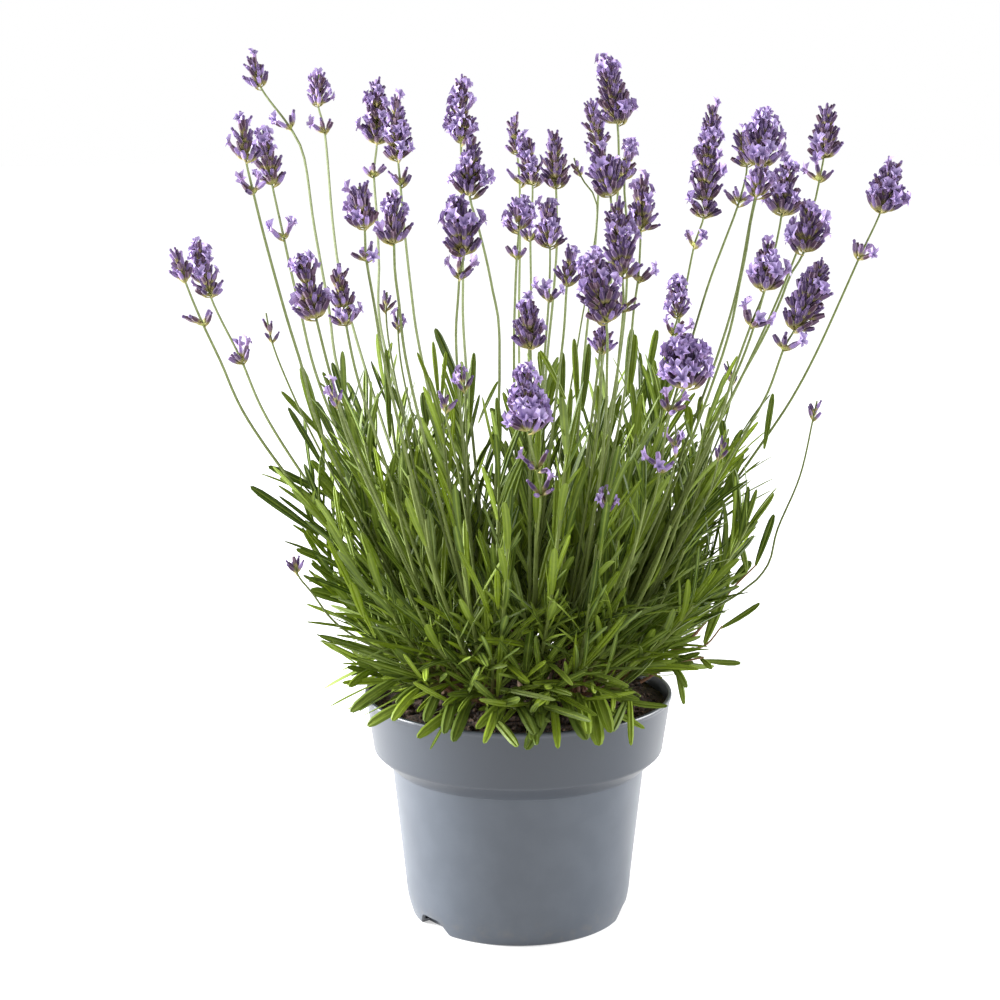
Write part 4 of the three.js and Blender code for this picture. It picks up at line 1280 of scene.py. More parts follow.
SPRAYS = (
    Sprays("left", (
        (375, 668, 349, 687, -20, -40, 5, 2, 0.5),
        (386, 678, 347, 667, -10, -30, 4, 1.5, 0.3), (320, 536, 250, 486, 0, 0, 5, 1, 0.15),
        (330, 497, 268, 466, 0, 0, 4.5, 1.5, 0.2), (326, 471, 288, 407, 0, 0, 3.4, 0.5, 0.1),
        (330, 444, 281, 391, 0, 0, 3.2, 1, 0.4), (324, 446, 301, 366, 0, 0, 5.2, 1, 0.45),
        (340, 452, 316, 401, 0, 0, 4, 1, 0.2), (318, 539, 302, 493, 0, 0, 3, 0.5, 0.3),
        (330, 558, 306, 529, -5, -5, 3, 0.5, 0.5), (336, 566, 296, 549, -5, -10, 4, 1, 0.4),
        (348, 588, 311, 563, -10, -15, 3.6, 0.5, 0.35),
        (335, 593, 303, 575, -10, -15, 2.4, 0.5, 0.4),
        (352, 604, 310, 590, -15, -20, 6.5, 2, 0.35),
        (335, 488, 311, 460, -5, -5, 4, 0.5, 0.5), (354, 519, 318, 476, -10, -10, 6, 1, 0.5),
        (335, 550, 328, 509, -10, -10, 4, 1, 0.3), (345, 478, 322, 436, -5, -5, 5, 1, 0.7),
    )),
    Sprays("left_front", (
        (402, 676, 350, 712, -40, -56, 6.5, 3, 0.25),
        (415, 700, 367, 726, -58, -66, 6, 3, 0.35),
        (419, 688, 392, 721, -60, -76, 5.5, 3, 0.7),
        (440, 690, 425, 722, -55, -82, 6, 3, 0.15),
        (430, 682, 396, 704, -45, -66, 6, 3, 0.2), (455, 695, 444, 734, -60, -92, 6, 3, 0.1),
        (376, 639, 327, 538, -68, -72, 3.4, 2, 0.8), (364, 618, 351, 582, -72, -80, 4.6, 1, 0.8),
    )),
    Sprays("front_left", (
        (466, 703, 417, 738, -62, -86, 6, 3, 0.45),
        (470, 700, 453, 742, -60, -94, 6.5, 3, 0.05),
        (524, 689, 476, 729, -55, -96, 6, 4, 0.4), (480, 690, 440, 715, -50, -75, 5.5, 3, 0.2),
        (490, 700, 492, 730, -60, -92, 6, 3, 0.15),
        (493, 624, 457, 546, -84, -106, 3, 4, 0.8),
        (498, 610, 497, 570, -88, -104, 3.2, 1, 0.8),
    )),
    Sprays("front", (
        (488, 712, 518, 747, -66, -100, 5, 2, 0.45),
        (552, 705, 526, 750, -62, -100, 7, 3, 0.1),
        (552, 692, 558, 749, -55, -98, 4.5, 4, 0.75),
        (500, 706, 556, 704, -60, -66, 4, -3, 0.5),
        (510, 690, 497, 722, -50, -85, 5, 3, 0.3), (528, 684, 560, 700, -45, -70, 5, 2, 0.5),
        (536, 690, 541, 728, -52, -90, 5.5, 3, 0.12),
        (515, 700, 535, 735, -60, -95, 6, 3, 0.1),
    )),
    Sprays("front_right", (
        (577, 692, 589, 735, -55, -94, 6, 4, 0.85),
        (568, 706, 587, 740, -64, -94, 8, 3, 0.05),
        (590, 700, 599, 746, -60, -92, 8, 3, 0.5),
        (594, 688, 611, 733, -55, -89, 7, 4, 0.45),
        (626, 700, 612, 732, -55, -88, 5, 2, 0.1), (560, 688, 572, 716, -50, -82, 6, 3, 0.2),
        (585, 690, 640, 700, -50, -60, 4, 2, 0.3),
    )),
    Sprays("right_front", (
        (629, 690, 631, 746, -50, -86, 3.4, 3, 0.8),
        (600, 690, 629, 689, -50, -50, 4, 1.5, 0.4),
        (602, 694, 668, 706, -58, -66, 3.6, -4, 0.35),
    )),
    Sprays("right", (
        (674, 657, 684, 705, -20, -40, 3.6, 4, 0.4), (668, 661, 687, 688, -20, -38, 4.2, 3, 0.3),
        (703, 660, 741, 663, 0, 0, 3.8, -1, 0.3), (700, 658, 712, 669, 0, -8, 3.5, 1, 0.5),
        (719, 629, 760, 603, 5, 5, 3.4, -2, 0.35), (704, 645, 728, 580, 0, 0, 6, -1, 0.4),
        (731, 585, 751, 561, 10, 10, 5, 1, 0.3), (755, 567, 774, 514, 2, 2, 4, -1, 0.2),
        (747, 572, 741, 545, 0, 0, 3.6, 1, 0.4), (764, 450, 773, 393, 5, 5, 3.4, -0.5, 0.3),
        (740, 524, 733, 467, 0, 0, 5, 1, 0.3), (741, 538, 774, 493, 0, 0, 3.4, -0.5, 0.65),
        (725, 590, 738, 520, 0, 0, 2.6, -0.5, 0.8), (688, 527, 710, 486, -10, -10, 5, 1, 0.6),
        (690, 437, 688, 406, 0, 0, 5, 1, 0.7), (698, 424, 701, 396, 0, 0, 3.2, 1, 0.6),
        (718, 424, 728, 407, 0, 0, 2.4, 1, 0.7), (724, 440, 722, 420, 10, 10, 4, 1, 0.2),
    )),
    Sprays("centre_left", (
        (462, 392, 435, 328, 20, 20, 4.8, 1, 0.15), (439, 402, 433, 341, 10, 10, 2.6, 1, 0.85),
        (441, 404, 446, 351, 10, 10, 2.4, 1, 0.75), (438, 404, 417, 352, 10, 10, 2.2, 1, 0.7),
        (478, 424, 498, 381, 20, 20, 2.2, 2, 0.4), (508, 431, 490, 408, 10, 10, 4, 2, 0.3),
        (463, 428, 452, 404, 10, 10, 4, 1, 0.3),
    )),
    Sprays("left_back", (
        (390, 440, 386, 348, 10, 10, 3.6, 1, 0.3),
    )),
    Sprays("back_left", (
        (427, 427, 423, 392, 0, 0, 4.6, 1, 0.2), (439, 442, 437, 398, -10, -10, 4.2, 1, 0.85),
        (406, 424, 392, 386, 10, 10, 2.6, 1, 0.3), (470, 424, 474, 352, 40, 40, 3.6, 1, 0.35),
    )),
    Sprays("centre", (
        (566, 400, 540, 350, 10, 10, 3.2, 1, 0.8), (600, 420, 597, 385, 0, 0, 4, 1, 0.75),
    )),
    Sprays("back_right", (
        (578, 410, 574, 338, 20, 20, 3.6, 1, 0.5), (582, 412, 589, 343, 30, 30, 4.4, 1, 0.3),
        (629, 394, 635, 334, 20, 20, 5, 1, 0.5), (626, 398, 632, 328, 28, 28, 4.6, 1, 0.3),
        (634, 408, 646, 380, 20, 20, 2.2, 1, 0.4), (561, 424, 563, 352, 30, 30, 3.6, 1, 0.35),
    )),
    Sprays("centre_right", (
        (656, 420, 655, 360, 10, 10, 2.6, 1, 0.5),
    )),
)


@dataclass(frozen=True)
class Twig:
    """A bare woody twig at the plant's foot, by pixels of the photograph going up."""

    branch: str
    depth: float
    radius: float
    seen: tuple[tuple[float, float], ...]


TWIGS = (
    Twig("front_left", -44, 0.9, ((470, 697), (468, 670), (474, 640))),
    Twig("front", -50, 1.0, ((548, 694), (545, 668), (540, 640))),
    Twig("front", -46, 0.8, ((538, 694), (541, 672), (547, 645))),
    Twig("front_right", -50, 1.0, ((578, 692), (577, 660), (572, 625))),
    Twig("front_right", -48, 0.9, ((583, 692), (587, 660), (594, 628))),
    Twig("front_right", -52, 0.8, ((586, 690), (583, 664), (582, 640))),
    Twig("right", -8, 0.9, ((640, 682), (672, 665), (704, 657))),
    Twig("right", -4, 0.8, ((646, 676), (668, 652), (704, 646), (722, 626))),
    Twig("right", 2, 0.8, ((690, 640), (714, 612), (733, 588), (756, 565))),
)


@dataclass(frozen=True)
class Gap:
    """A spot, by its middle and half sizes in pixels, where the photograph shows no leaf."""

    column: float
    row: float
    wide: float
    high: float

    def leaves_free(self, leaves: Leaves) -> Array:
        """Says for each leaf whether it stays clear of the spot.

        Args:
            leaves: The leaves.

        Returns:
            A mask. A leaf is clear if none of nine
            points along its middle lies in the ellipse.
        """
        seen = VIEW.pixels(leaves.middle(np.linspace(0, 1, 9)))
        aside = (seen[..., 0] - self.column) / self.wide
        above = (seen[..., 1] - self.row) / self.high
        return (aside**2 + above**2 > 1).all(axis=1)


GAPS = tuple(Gap(*row) for row in (
    (659, 703, 19, 24), (688, 725, 22, 22), (707, 694, 22, 22), (745, 640, 30, 28),
    (790, 560, 32, 60), (402, 706, 10, 8), (250, 400, 45, 75), (297, 435, 8, 26),
    (292, 535, 9, 8), (392, 425, 4, 28), (381, 441, 4, 18), (475, 443, 4, 13), (730, 410, 6, 18),
    (743, 402, 7, 16), (709, 465, 3, 9),
))


@dataclass(frozen=True)
class Growth:
    """The rules of growth that the stems and leaves share, in millimetres.

    stalk, leafy, thin, rachis and twig are the radii at the two ends of a flower's stalk,
    a leafy shoot, a bud's stalk, the stem in a head and a twig, the last as a share.
    """

    soil_crown: float = 124.0
    fork_rise: float = 18.0
    fork_radius: float = 4.4
    stalk_rise: float = 13.0
    fork_row: float = 665.0
    bare_row: float = 600.0
    bare_depth: float = -26.0
    bare_width: float = 3.2
    foot_radius: float = 3.1
    node_gap: float = 0.35
    whorl_tail: float = 4.0
    shoots: int = 150
    bush_foot: float = 80.0
    bush_swell: float = 40.0
    bush_lean: float = 11.0
    bush_low: float = 133.0
    bush_full: float = 215.0
    bush_rise: float = 1.4
    bush_top: float = 293.0
    bush_arch: float = 9.0
    leafy_top: float = 300.0
    leaf_lift: float = 0.5
    leaf_length: float = 40.0
    leaf_width: float = 3.7
    leaf_pitch: float = 9.0
    leafless: float = 12.0
    stalk: tuple[float, float] = (1.04, 0.68)
    leafy: tuple[float, float] = (1.43, 0.715)
    thin: tuple[float, float] = (0.8, 0.5)
    rachis: tuple[float, float] = (0.68, 0.5)
    twig: tuple[float, float] = (1.1, 0.6)
    # green_after and shaded_after scale the run along stalks and shoots; where the run is low the
    # stem is painted lighter, painted light that lifts the leaves' shade.
    green_after: float = 120.0
    shaded_after: float = 160.0

    def stem_start(self, branch: Branch, toward: Array, height: float) -> Array:
        """Finds where a stem leaves its branch's foot, on the side that it leans to.

        Args:
            branch: The branch.
            toward: Where the stem goes.
            height: How high it leaves.

        Returns:
            The point.
        """
        lean = math.atan2(toward[1] - branch.y, toward[0] - branch.x)
        out = self.fork_radius * 0.55
        return np.array([branch.x + out * math.cos(lean), branch.y + out * math.sin(lean), height])

    def pairs(self, path: Path, low: float, high: float, seed: int) -> Leaves:
        """Sets opposite pairs of leaves up a stem, each pair square to the last.

        Args:
            path: The stem's way.
            low: Where the leaves start, as a distance.
            high: Where they end.
            seed: Which run of draws sets them.

        Returns:
            The leaves. Going up, they spread less and turn more to the light, and they
            are longest at mid height.
        """
        count = int((high - low) // self.leaf_pitch)
        numbers = draws(seed, 1 + 8 * count)
        four = np.moveaxis(numbers[1:].reshape(count, 2, 4), 2, 0)
        for_turn, for_spread, for_size, for_bend = four
        share = ((np.arange(count) + 0.6) / count)[:, None]
        stations = path.at(mixed(low, high, share[:, 0]))
        points, along, across, third = (part[:, None] for part in stations)
        facet = (np.arange(count) % 2)[:, None] + np.array([0, 2])
        turn = numbers[0] * math.pi + (facet + 0.5) * math.pi / 2 + (for_turn - 0.5) * 0.7
        spread = (mixed(0.85, 0.3, share) + (for_spread - 0.5) * 0.3)[..., None]
        size = ((0.72 + 0.42 * np.sin(math.pi * share)) * (0.84 + 0.32 * for_size)).ravel()
        outward = around(across, third, turn)
        light = UP * (self.leaf_lift * share)[..., None]
        direction = unit(along * np.cos(spread) + outward * np.sin(spread) + light)
        side = unit(np.cross(along * np.sin(spread) - outward * np.cos(spread), direction))
        root, direction, side = (np.broadcast_to(part, side.shape).reshape(-1, 3)
                                 for part in (points, direction, side))
        random = np.random.default_rng(seed)
        number = 2 * count
        return Leaves(
            root=root, direction=direction, face=np.cross(direction, side), side=side,
            length=self.leaf_length * size,
            width=self.leaf_width * (0.85 + 0.15 * size) * random.uniform(0.8, 1.15, number),
            bend=((0.02 + 0.2 * for_bend) * mixed(1.5, 0.7, share)).ravel(),
            sway=random.normal(0, 0.07, number),
            tint=random.uniform(0, 1, number),
        )

    def tufts(self, leaves: Leaves, seed: int) -> Leaves:
        """Sets a small leaf beside each leaf of a stem, where its side shoot starts.

        Args:
            leaves: The stem's leaves.
            seed: Which run of draws sets them.

        Returns:
            The small leaves, one for each.
        """
        random = np.random.default_rng(Seed.TUFTS + seed)
        count = len(leaves.length)
        turn = (random.choice([-1.0, 1.0], count) * random.uniform(0.5, 1.1, count))[:, None]
        direction = unit(leaves.direction + leaves.side * np.sin(turn) * 0.8 + leaves.face * 0.5)
        side = unit(np.cross(leaves.face, direction))
        return Leaves(
            root=leaves.root, direction=direction, face=np.cross(direction, side), side=side,
            length=leaves.length * random.uniform(0.35, 0.7, count),
            width=leaves.width * random.uniform(0.4, 0.6, count),
            bend=random.uniform(-0.1, 0.15, count),
            sway=random.normal(0, 0.08, count),
            tint=np.clip(leaves.tint + random.normal(0.1, 0.15, count), 0, 1),
        )


GROWTH = Growth()


def clear_of_pot(leaves: Leaves, pot: Pot) -> Leaves:
    """Bends leaves up that would cut the pot or the soil, and drops those that still do.

    Args:
        leaves: The leaves.
        pot: The pot.

    Returns:
        The leaves that stand clear of the soil, of the wall and of the rim.
    """
    tries, step, room = 4, 0.22, 2.2
    for _ in range(tries):
        points = leaves.middle(np.linspace(0.1, 1.0, 10))
        radius, height = np.hypot(points[..., 0], points[..., 1]), points[..., 2]
        beside = np.where(radius < pot.rim_radius - 7, height > GROWTH.soil_crown + 1.5,
                          radius > pot.rim_radius + room)
        clear = ((height > pot.rim_height + room) | beside).all(axis=1)
        leaves.bend = np.where(clear, leaves.bend, leaves.bend - step)
    return leaves.only(clear)


class Stalk:
    """A flower's stalk: its curve from the fork to the tip of its head."""

    def __init__(self, flower: Flower) -> None:
        """Runs the curve through what the photograph shows.

        A point's depth goes evenly from the head's, at its foot, to the branch's, at the
        row where the branches fork.

        Args:
            flower: What the photograph shows.
        """
        branch = next(branch for branch in BRANCHES if branch.name == flower.branch)
        seen = np.array(flower.whorls + flower.stalk, float)
        share = (seen[:, 1] - flower.foot[1]) / (GROWTH.fork_row - flower.foot[1])
        upper = VIEW.seen_at(seen, mixed(flower.depth, branch.y, share))
        start = GROWTH.stem_start(branch, upper[-1], GROWTH.soil_crown + GROWTH.stalk_rise)
        self.flower = flower
        self.head_foot, self.head_tip = VIEW.seen_at([flower.foot, flower.tip], flower.depth)
        route = np.vstack([start, upper[::-1], self.head_foot, self.head_tip])
        self.curve = Route(route)
        steps = len(route) - 1
        self.foot = (steps - 1) / steps
        self.whorls = [(steps - 2 - place) / steps for place in range(len(flower.whorls))][::-1]
        lowest = self.whorls[0] if self.whorls else self.foot
        near = 0.01
        step = np.linalg.norm(self.curve.at(lowest)[0] - self.curve.at(lowest - near)[0])
        below = GROWTH.node_gap + (GROWTH.whorl_tail if self.whorls else 0)
        self.cut = lowest - near * below / step
        self.head_length = np.linalg.norm(self.head_tip - self.head_foot)
        self.up = unit(self.head_tip - self.head_foot)


def unveiled(leaves: Leaves, stalks: list[Stalk]) -> Leaves:
    """Drops the leaves that hide a stalk which the photograph shows in front of them.

    Args:
        leaves: The leaves.
        stalks: The stalks in question.

    Returns:
        The leaves of which no point, above the row where the stalks go into the bush,
        lies in front of a stalk.
    """
    points = leaves.middle(np.linspace(0.05, 1, 16))
    columns, rows = np.moveaxis(VIEW.pixels(points), -1, 0)
    hidden = np.zeros(len(leaves.length), bool)
    for stalk in stalks:
        line = stalk.curve.at(np.linspace(stalk.cut, 0, 100))
        at = VIEW.pixels(line)
        column, depth = (np.interp(rows, at[:, 1], value) for value in (at[:, 0], line[:, 1]))
        above = (rows > at[0, 1]) & (rows < GROWTH.bare_row)
        beside = np.abs(columns - column) < GROWTH.bare_width
        hidden |= (above & beside & (points[..., 1] < depth)).any(axis=1)
    return leaves.only(~hidden)


@dataclass
class Florets(Rows):
    """A batch of flowers round a stem.

    hub is the point on the stem that a flower grows from, base where its calyx starts,
    axis the way it points, tangent a direction square to that, and size its scale.
    """

    hub: Array
    base: Array
    axis: Array
    tangent: Array
    size: Array
    tint: Array
    openness: Array

    @staticmethod
    def whorl(centre: Array, up: Array, count: int, start: float, tilt: float, out: float,
              size: float, bloom: float, random: np.random.Generator,
              faded: float = 0.0) -> "Florets":
        """Sets flowers round one whorl.

        Args:
            centre: The whorl's middle.
            up: The way the stem goes there.
            count: How many flowers.
            start: How far the whorl is turned.
            tilt: How far the flowers lean out from the stem, in radians.
            out: How far from the middle their calyces start.
            size: Their scale.
            bloom: The share that are open.
            random: The head's own draws.
            faded: How far their colour has gone from dark violet to lilac.

        Returns:
            The flowers: evenly round the stem, each a little out of place.
        """
        turn = start + (np.arange(count) + random.normal(0, 0.13, count)) * FULL_TURN / count
        outward = around(*square_to(up), turn)
        lean = (tilt + random.normal(0, 0.15, count))[:, None]
        lift = random.normal(0, 1.0, count)[:, None]
        draw = random.uniform(0, 1, count)
        return Florets(
            hub=centre + up * (lift - 0.8) + outward * 0.3,
            base=centre + up * lift + outward * out,
            axis=unit(up * np.cos(lean) + outward * np.sin(lean)),
            tangent=np.cross(up, outward),
            size=size * random.uniform(0.85, 1.12, count),
            tint=np.clip(random.normal(0.45, 0.28, count) + faded, 0, 1),
            openness=np.select([draw < bloom, draw < bloom + 0.35],
                               [Openness.OPEN.value, Openness.BUD.value], Openness.CLOSED.value),
        )

    def rings(self, origin: Array, heights: Array | float, radii: Array,
              start: float = 0.0) -> Array:
        """Stands rings along each flower's axis.

        Args:
            origin: Where the heights are measured from, a point for each flower.
            heights: How high each ring, or each of its corners, stands.
            radii: The corners' radii, as (rings, corners) or (flowers, rings, corners).
            start: Where round the flower the first corner stands.

        Returns:
            The corners, as (flowers, rings, corners, 3).
        """
        third = np.cross(self.axis, self.tangent)
        angles = ring_angles(radii.shape[-1], start)
        spokes = around(self.tangent[:, None], third[:, None], angles)[:, None]
        shape = (len(self.size), *radii.shape[-2:])
        reach, high = (self.size[:, None, None, None] * np.broadcast_to(part, shape)[..., None]
                       for part in (radii, heights))
        return origin[:, None, None] + spokes * reach + self.axis[:, None, None] * high

    def above(self, rise: float) -> Array:
        """Gives the point of each flower's axis that stands over its base by a rise."""
        return self.base + self.axis * (self.size * rise)[:, None]

    def calyces(self) -> Skin:
        """Builds the calyces: thin stalk, ribbed barrel and open mouth.

        Returns:
            The skin: four rings from base to mouth, closed in the throat.
        """
        ribs = np.array([1.0, 0.88] * 4)
        heights = np.array([0.0, 0.2, 0.62, 1.0])[:, None] * CALYX
        barrel = self.rings(self.base, heights, np.array([0.55, 1.12, 1.42, 1.0])[:, None] * ribs)
        foot = self.rings(self.hub, 0.0, np.full((1, 8), 0.34))
        return tubes(CALYX_FELT, np.concatenate([foot, barrel], axis=1),
                     np.array([0.0, 0.05, 0.2, 0.6, 1.0]), (ribs - 0.88) / 0.12, self.tint,
                     (self.hub, self.above(0.92 * CALYX)))

    def buds(self) -> Skin:
        """Builds the closed petals that stand in some mouths: small clubs.

        Returns:
            The skin: three rings over the mouth.
        """
        radii = np.array([0.7, 0.78, 0.88])[:, None] * np.ones(6)
        rings = self.rings(self.above(CALYX), np.array([-0.8, 0.8, 1.7])[:, None], radii)
        return tubes(PETAL, rings, np.array([0.3, 0.4, 0.5]), 0.0, self.tint * 0.2,
                     (self.above(CALYX - 1.0), self.above(CALYX + 2.4)))

    def corollas(self) -> Skin:
        """Builds the open flowers: a tube that widens to two upper and three lower lobes.

        A notch and two corners of full radius follow each other round the edge, the upper
        lobes are larger and stand forward, and the lower ones lie back. A slow wave round
        the edge, another for each flower, crumples it.

        Returns:
            The skin: tube, neck, edge and throat.
        """
        start, corners = math.pi / 10, 15
        upper = np.sin(ring_angles(corners, start))
        edge = 3.5 * np.tile(np.array([0.5, 1.0, 1.0]), 5) * (1 + 0.28 * upper)
        ones = np.ones(corners)
        crumple = np.sin(60 * self.tint[:, None] + 2.3 * np.arange(corners))
        at_edge = np.array([0.0, 0.0, 1.0, 0.0])[:, None]
        radii = np.stack([0.78 * ones, 1.2 * ones, edge, 0.7 * ones])
        heights = np.stack([-0.8 * ones, 2.1 * ones, 3.6 + 1.7 * upper, 2.5 * ones])
        heights = heights + 0.8 * at_edge * np.roll(crumple, 1, axis=1)[:, None]
        rings = self.rings(self.above(CALYX), heights,
                           radii * (1 + 0.2 * at_edge * crumple[:, None]), start)
        return tubes(PETAL, rings, np.array([0.0, 0.3, 0.65, 0.95]), 0.0,
                     0.45 + 0.55 * self.tint, (self.above(CALYX - 1.0), self.above(CALYX + 1.4)))

    def skins(self) -> list[Skin]:
        """Builds the calyces and what stands in them.

        Returns:
            One skin for each kind of part.
        """
        made = [self.calyces()]
        for kind, build in ((Openness.BUD, Florets.buds), (Openness.OPEN, Florets.corollas)):
            some = self.only(self.openness == kind.value)
            if len(some.size):
                made.append(build(some))
        return made


@dataclass(frozen=True)
class Head:
    """A flower head: whorls of flowers over bracts, up the end of a stalk."""

    stalk: Stalk
    number: int
    band: float = 7.4
    core: float = 3.0
    slight: float = 8.0
    stout: float = 10.5
    rachis_share: float = 0.85

    def bracts(self, centre: Array, up: Array, turn: float, long: float, wide: float) -> Leaves:
        """Sets two opposite bracts under a whorl.

        Args:
            centre: The whorl's middle.
            up: The way the stem goes there.
            turn: How far they are turned.
            long: Their length.
            wide: Their width.

        Returns:
            The two bracts.
        """
        outward = around(*square_to(up), turn + np.array([0.0, math.pi]))
        direction = unit(up * 0.55 + outward)
        face = unit(up - direction * (direction @ up)[:, None])
        two = np.ones(2)
        return Leaves(
            root=np.broadcast_to(centre - up * 0.6, (2, 3)),
            direction=direction, face=face, side=np.cross(face, direction),
            length=long * two, width=wide * two, bend=-0.25 * two, sway=0 * two, tint=0.5 * two,
        )

    def build(self) -> list[Skin]:
        """Builds the head.

        Returns:
            Its flowers, bracts and rachis. The whorls stand at even steps from the foot
            to the tip. They reach as far out at the foot as the photograph shows of the
            head, and less and less towards the tip.
        """
        stalk, flower, up = self.stalk, self.stalk.flower, self.stalk.up
        random = np.random.default_rng(Seed.HEAD + self.number)
        full = smooth(self.slight, self.stout, flower.width)
        grow = partial(Florets.whorl, random=random, faded=mixed(0.22, -0.06, full))
        crown = max(0.62 * flower.width, 7.2)
        length = stalk.head_length - crown
        apart = np.interp(flower.width, [self.slight, self.stout], [3.7, 2.95])
        broad = flower.width * mixed(0.97, 1.06, full)
        step = self.band * mixed(1.0, 1.4, smooth(45, 60, length))
        count = max(2, round(length / step))
        florets, bracts = [], []
        for place in stalk.whorls:
            towards = stalk.curve.towards(place)
            centre = stalk.curve.at(place)[0] - towards * 1.6
            turn = random.uniform(0, math.pi)
            few = int(random.integers(4, 7))
            florets.append(grow(centre, towards, few, turn, tilt=0.75, out=1.6, size=1.0,
                                bloom=0.28))
            bracts.append(self.bracts(centre, towards, turn, long=5.0, wide=4.5))
        for level in range(count):
            share = (level + 1) / count
            centre = stalk.head_foot + up * (length * level / count + 0.4)
            wide = self.core * (1.05 - 0.6 * share**2) + (broad - self.core) * (
                1.12 - 0.2 * share) * math.cos(mixed(0.15, 0.95, share))
            tilt = mixed(0.94, 0.46, share)
            size = float(np.clip(wide / 9, 0.9, 1.12))
            loose = float(np.clip(2.4 + 0.4 * (flower.width - 8.5), 2.2, 4.0))
            swell = math.sin(math.pi * (0.12 + 0.7 * share))
            out = float(np.clip(wide - CALYX * size * math.sin(tilt), 0.8, loose * swell + 0.4))
            turn = random.uniform(0, math.pi)
            outer = int(np.clip(round(FULL_TURN * (out + 2.8) / apart), 6, 15))
            bloom = flower.bloom * random.choice([0.2, 0.8, 1.9])
            florets.append(grow(centre, up, outer, turn, tilt, out, size, bloom))
            florets.append(grow(centre + up * 0.45 * self.band, up, max(4, outer - 3), turn + 0.4,
                                tilt * 0.72, out * 0.55, 0.95 * size, bloom))
            bracts.append(self.bracts(centre, up, turn, long=3.5 + out * 0.8, wide=4.8))
        top = stalk.head_foot + up * length
        florets.append(grow(top - up * 1.6, up, 5, start=0.0, tilt=0.4, out=0.6, size=0.86,
                            bloom=flower.bloom * 0.5))
        rachis = Path(stalk.curve, stalk.cut, mixed(stalk.foot, 1, self.rachis_share))
        return [*Florets.together(florets).skins(),
                SCALE.skin(Leaves.together(bracts), BRACT),
                rachis.stem(14, GROWTH.rachis, (2.0, 2.4), SQUARE)]


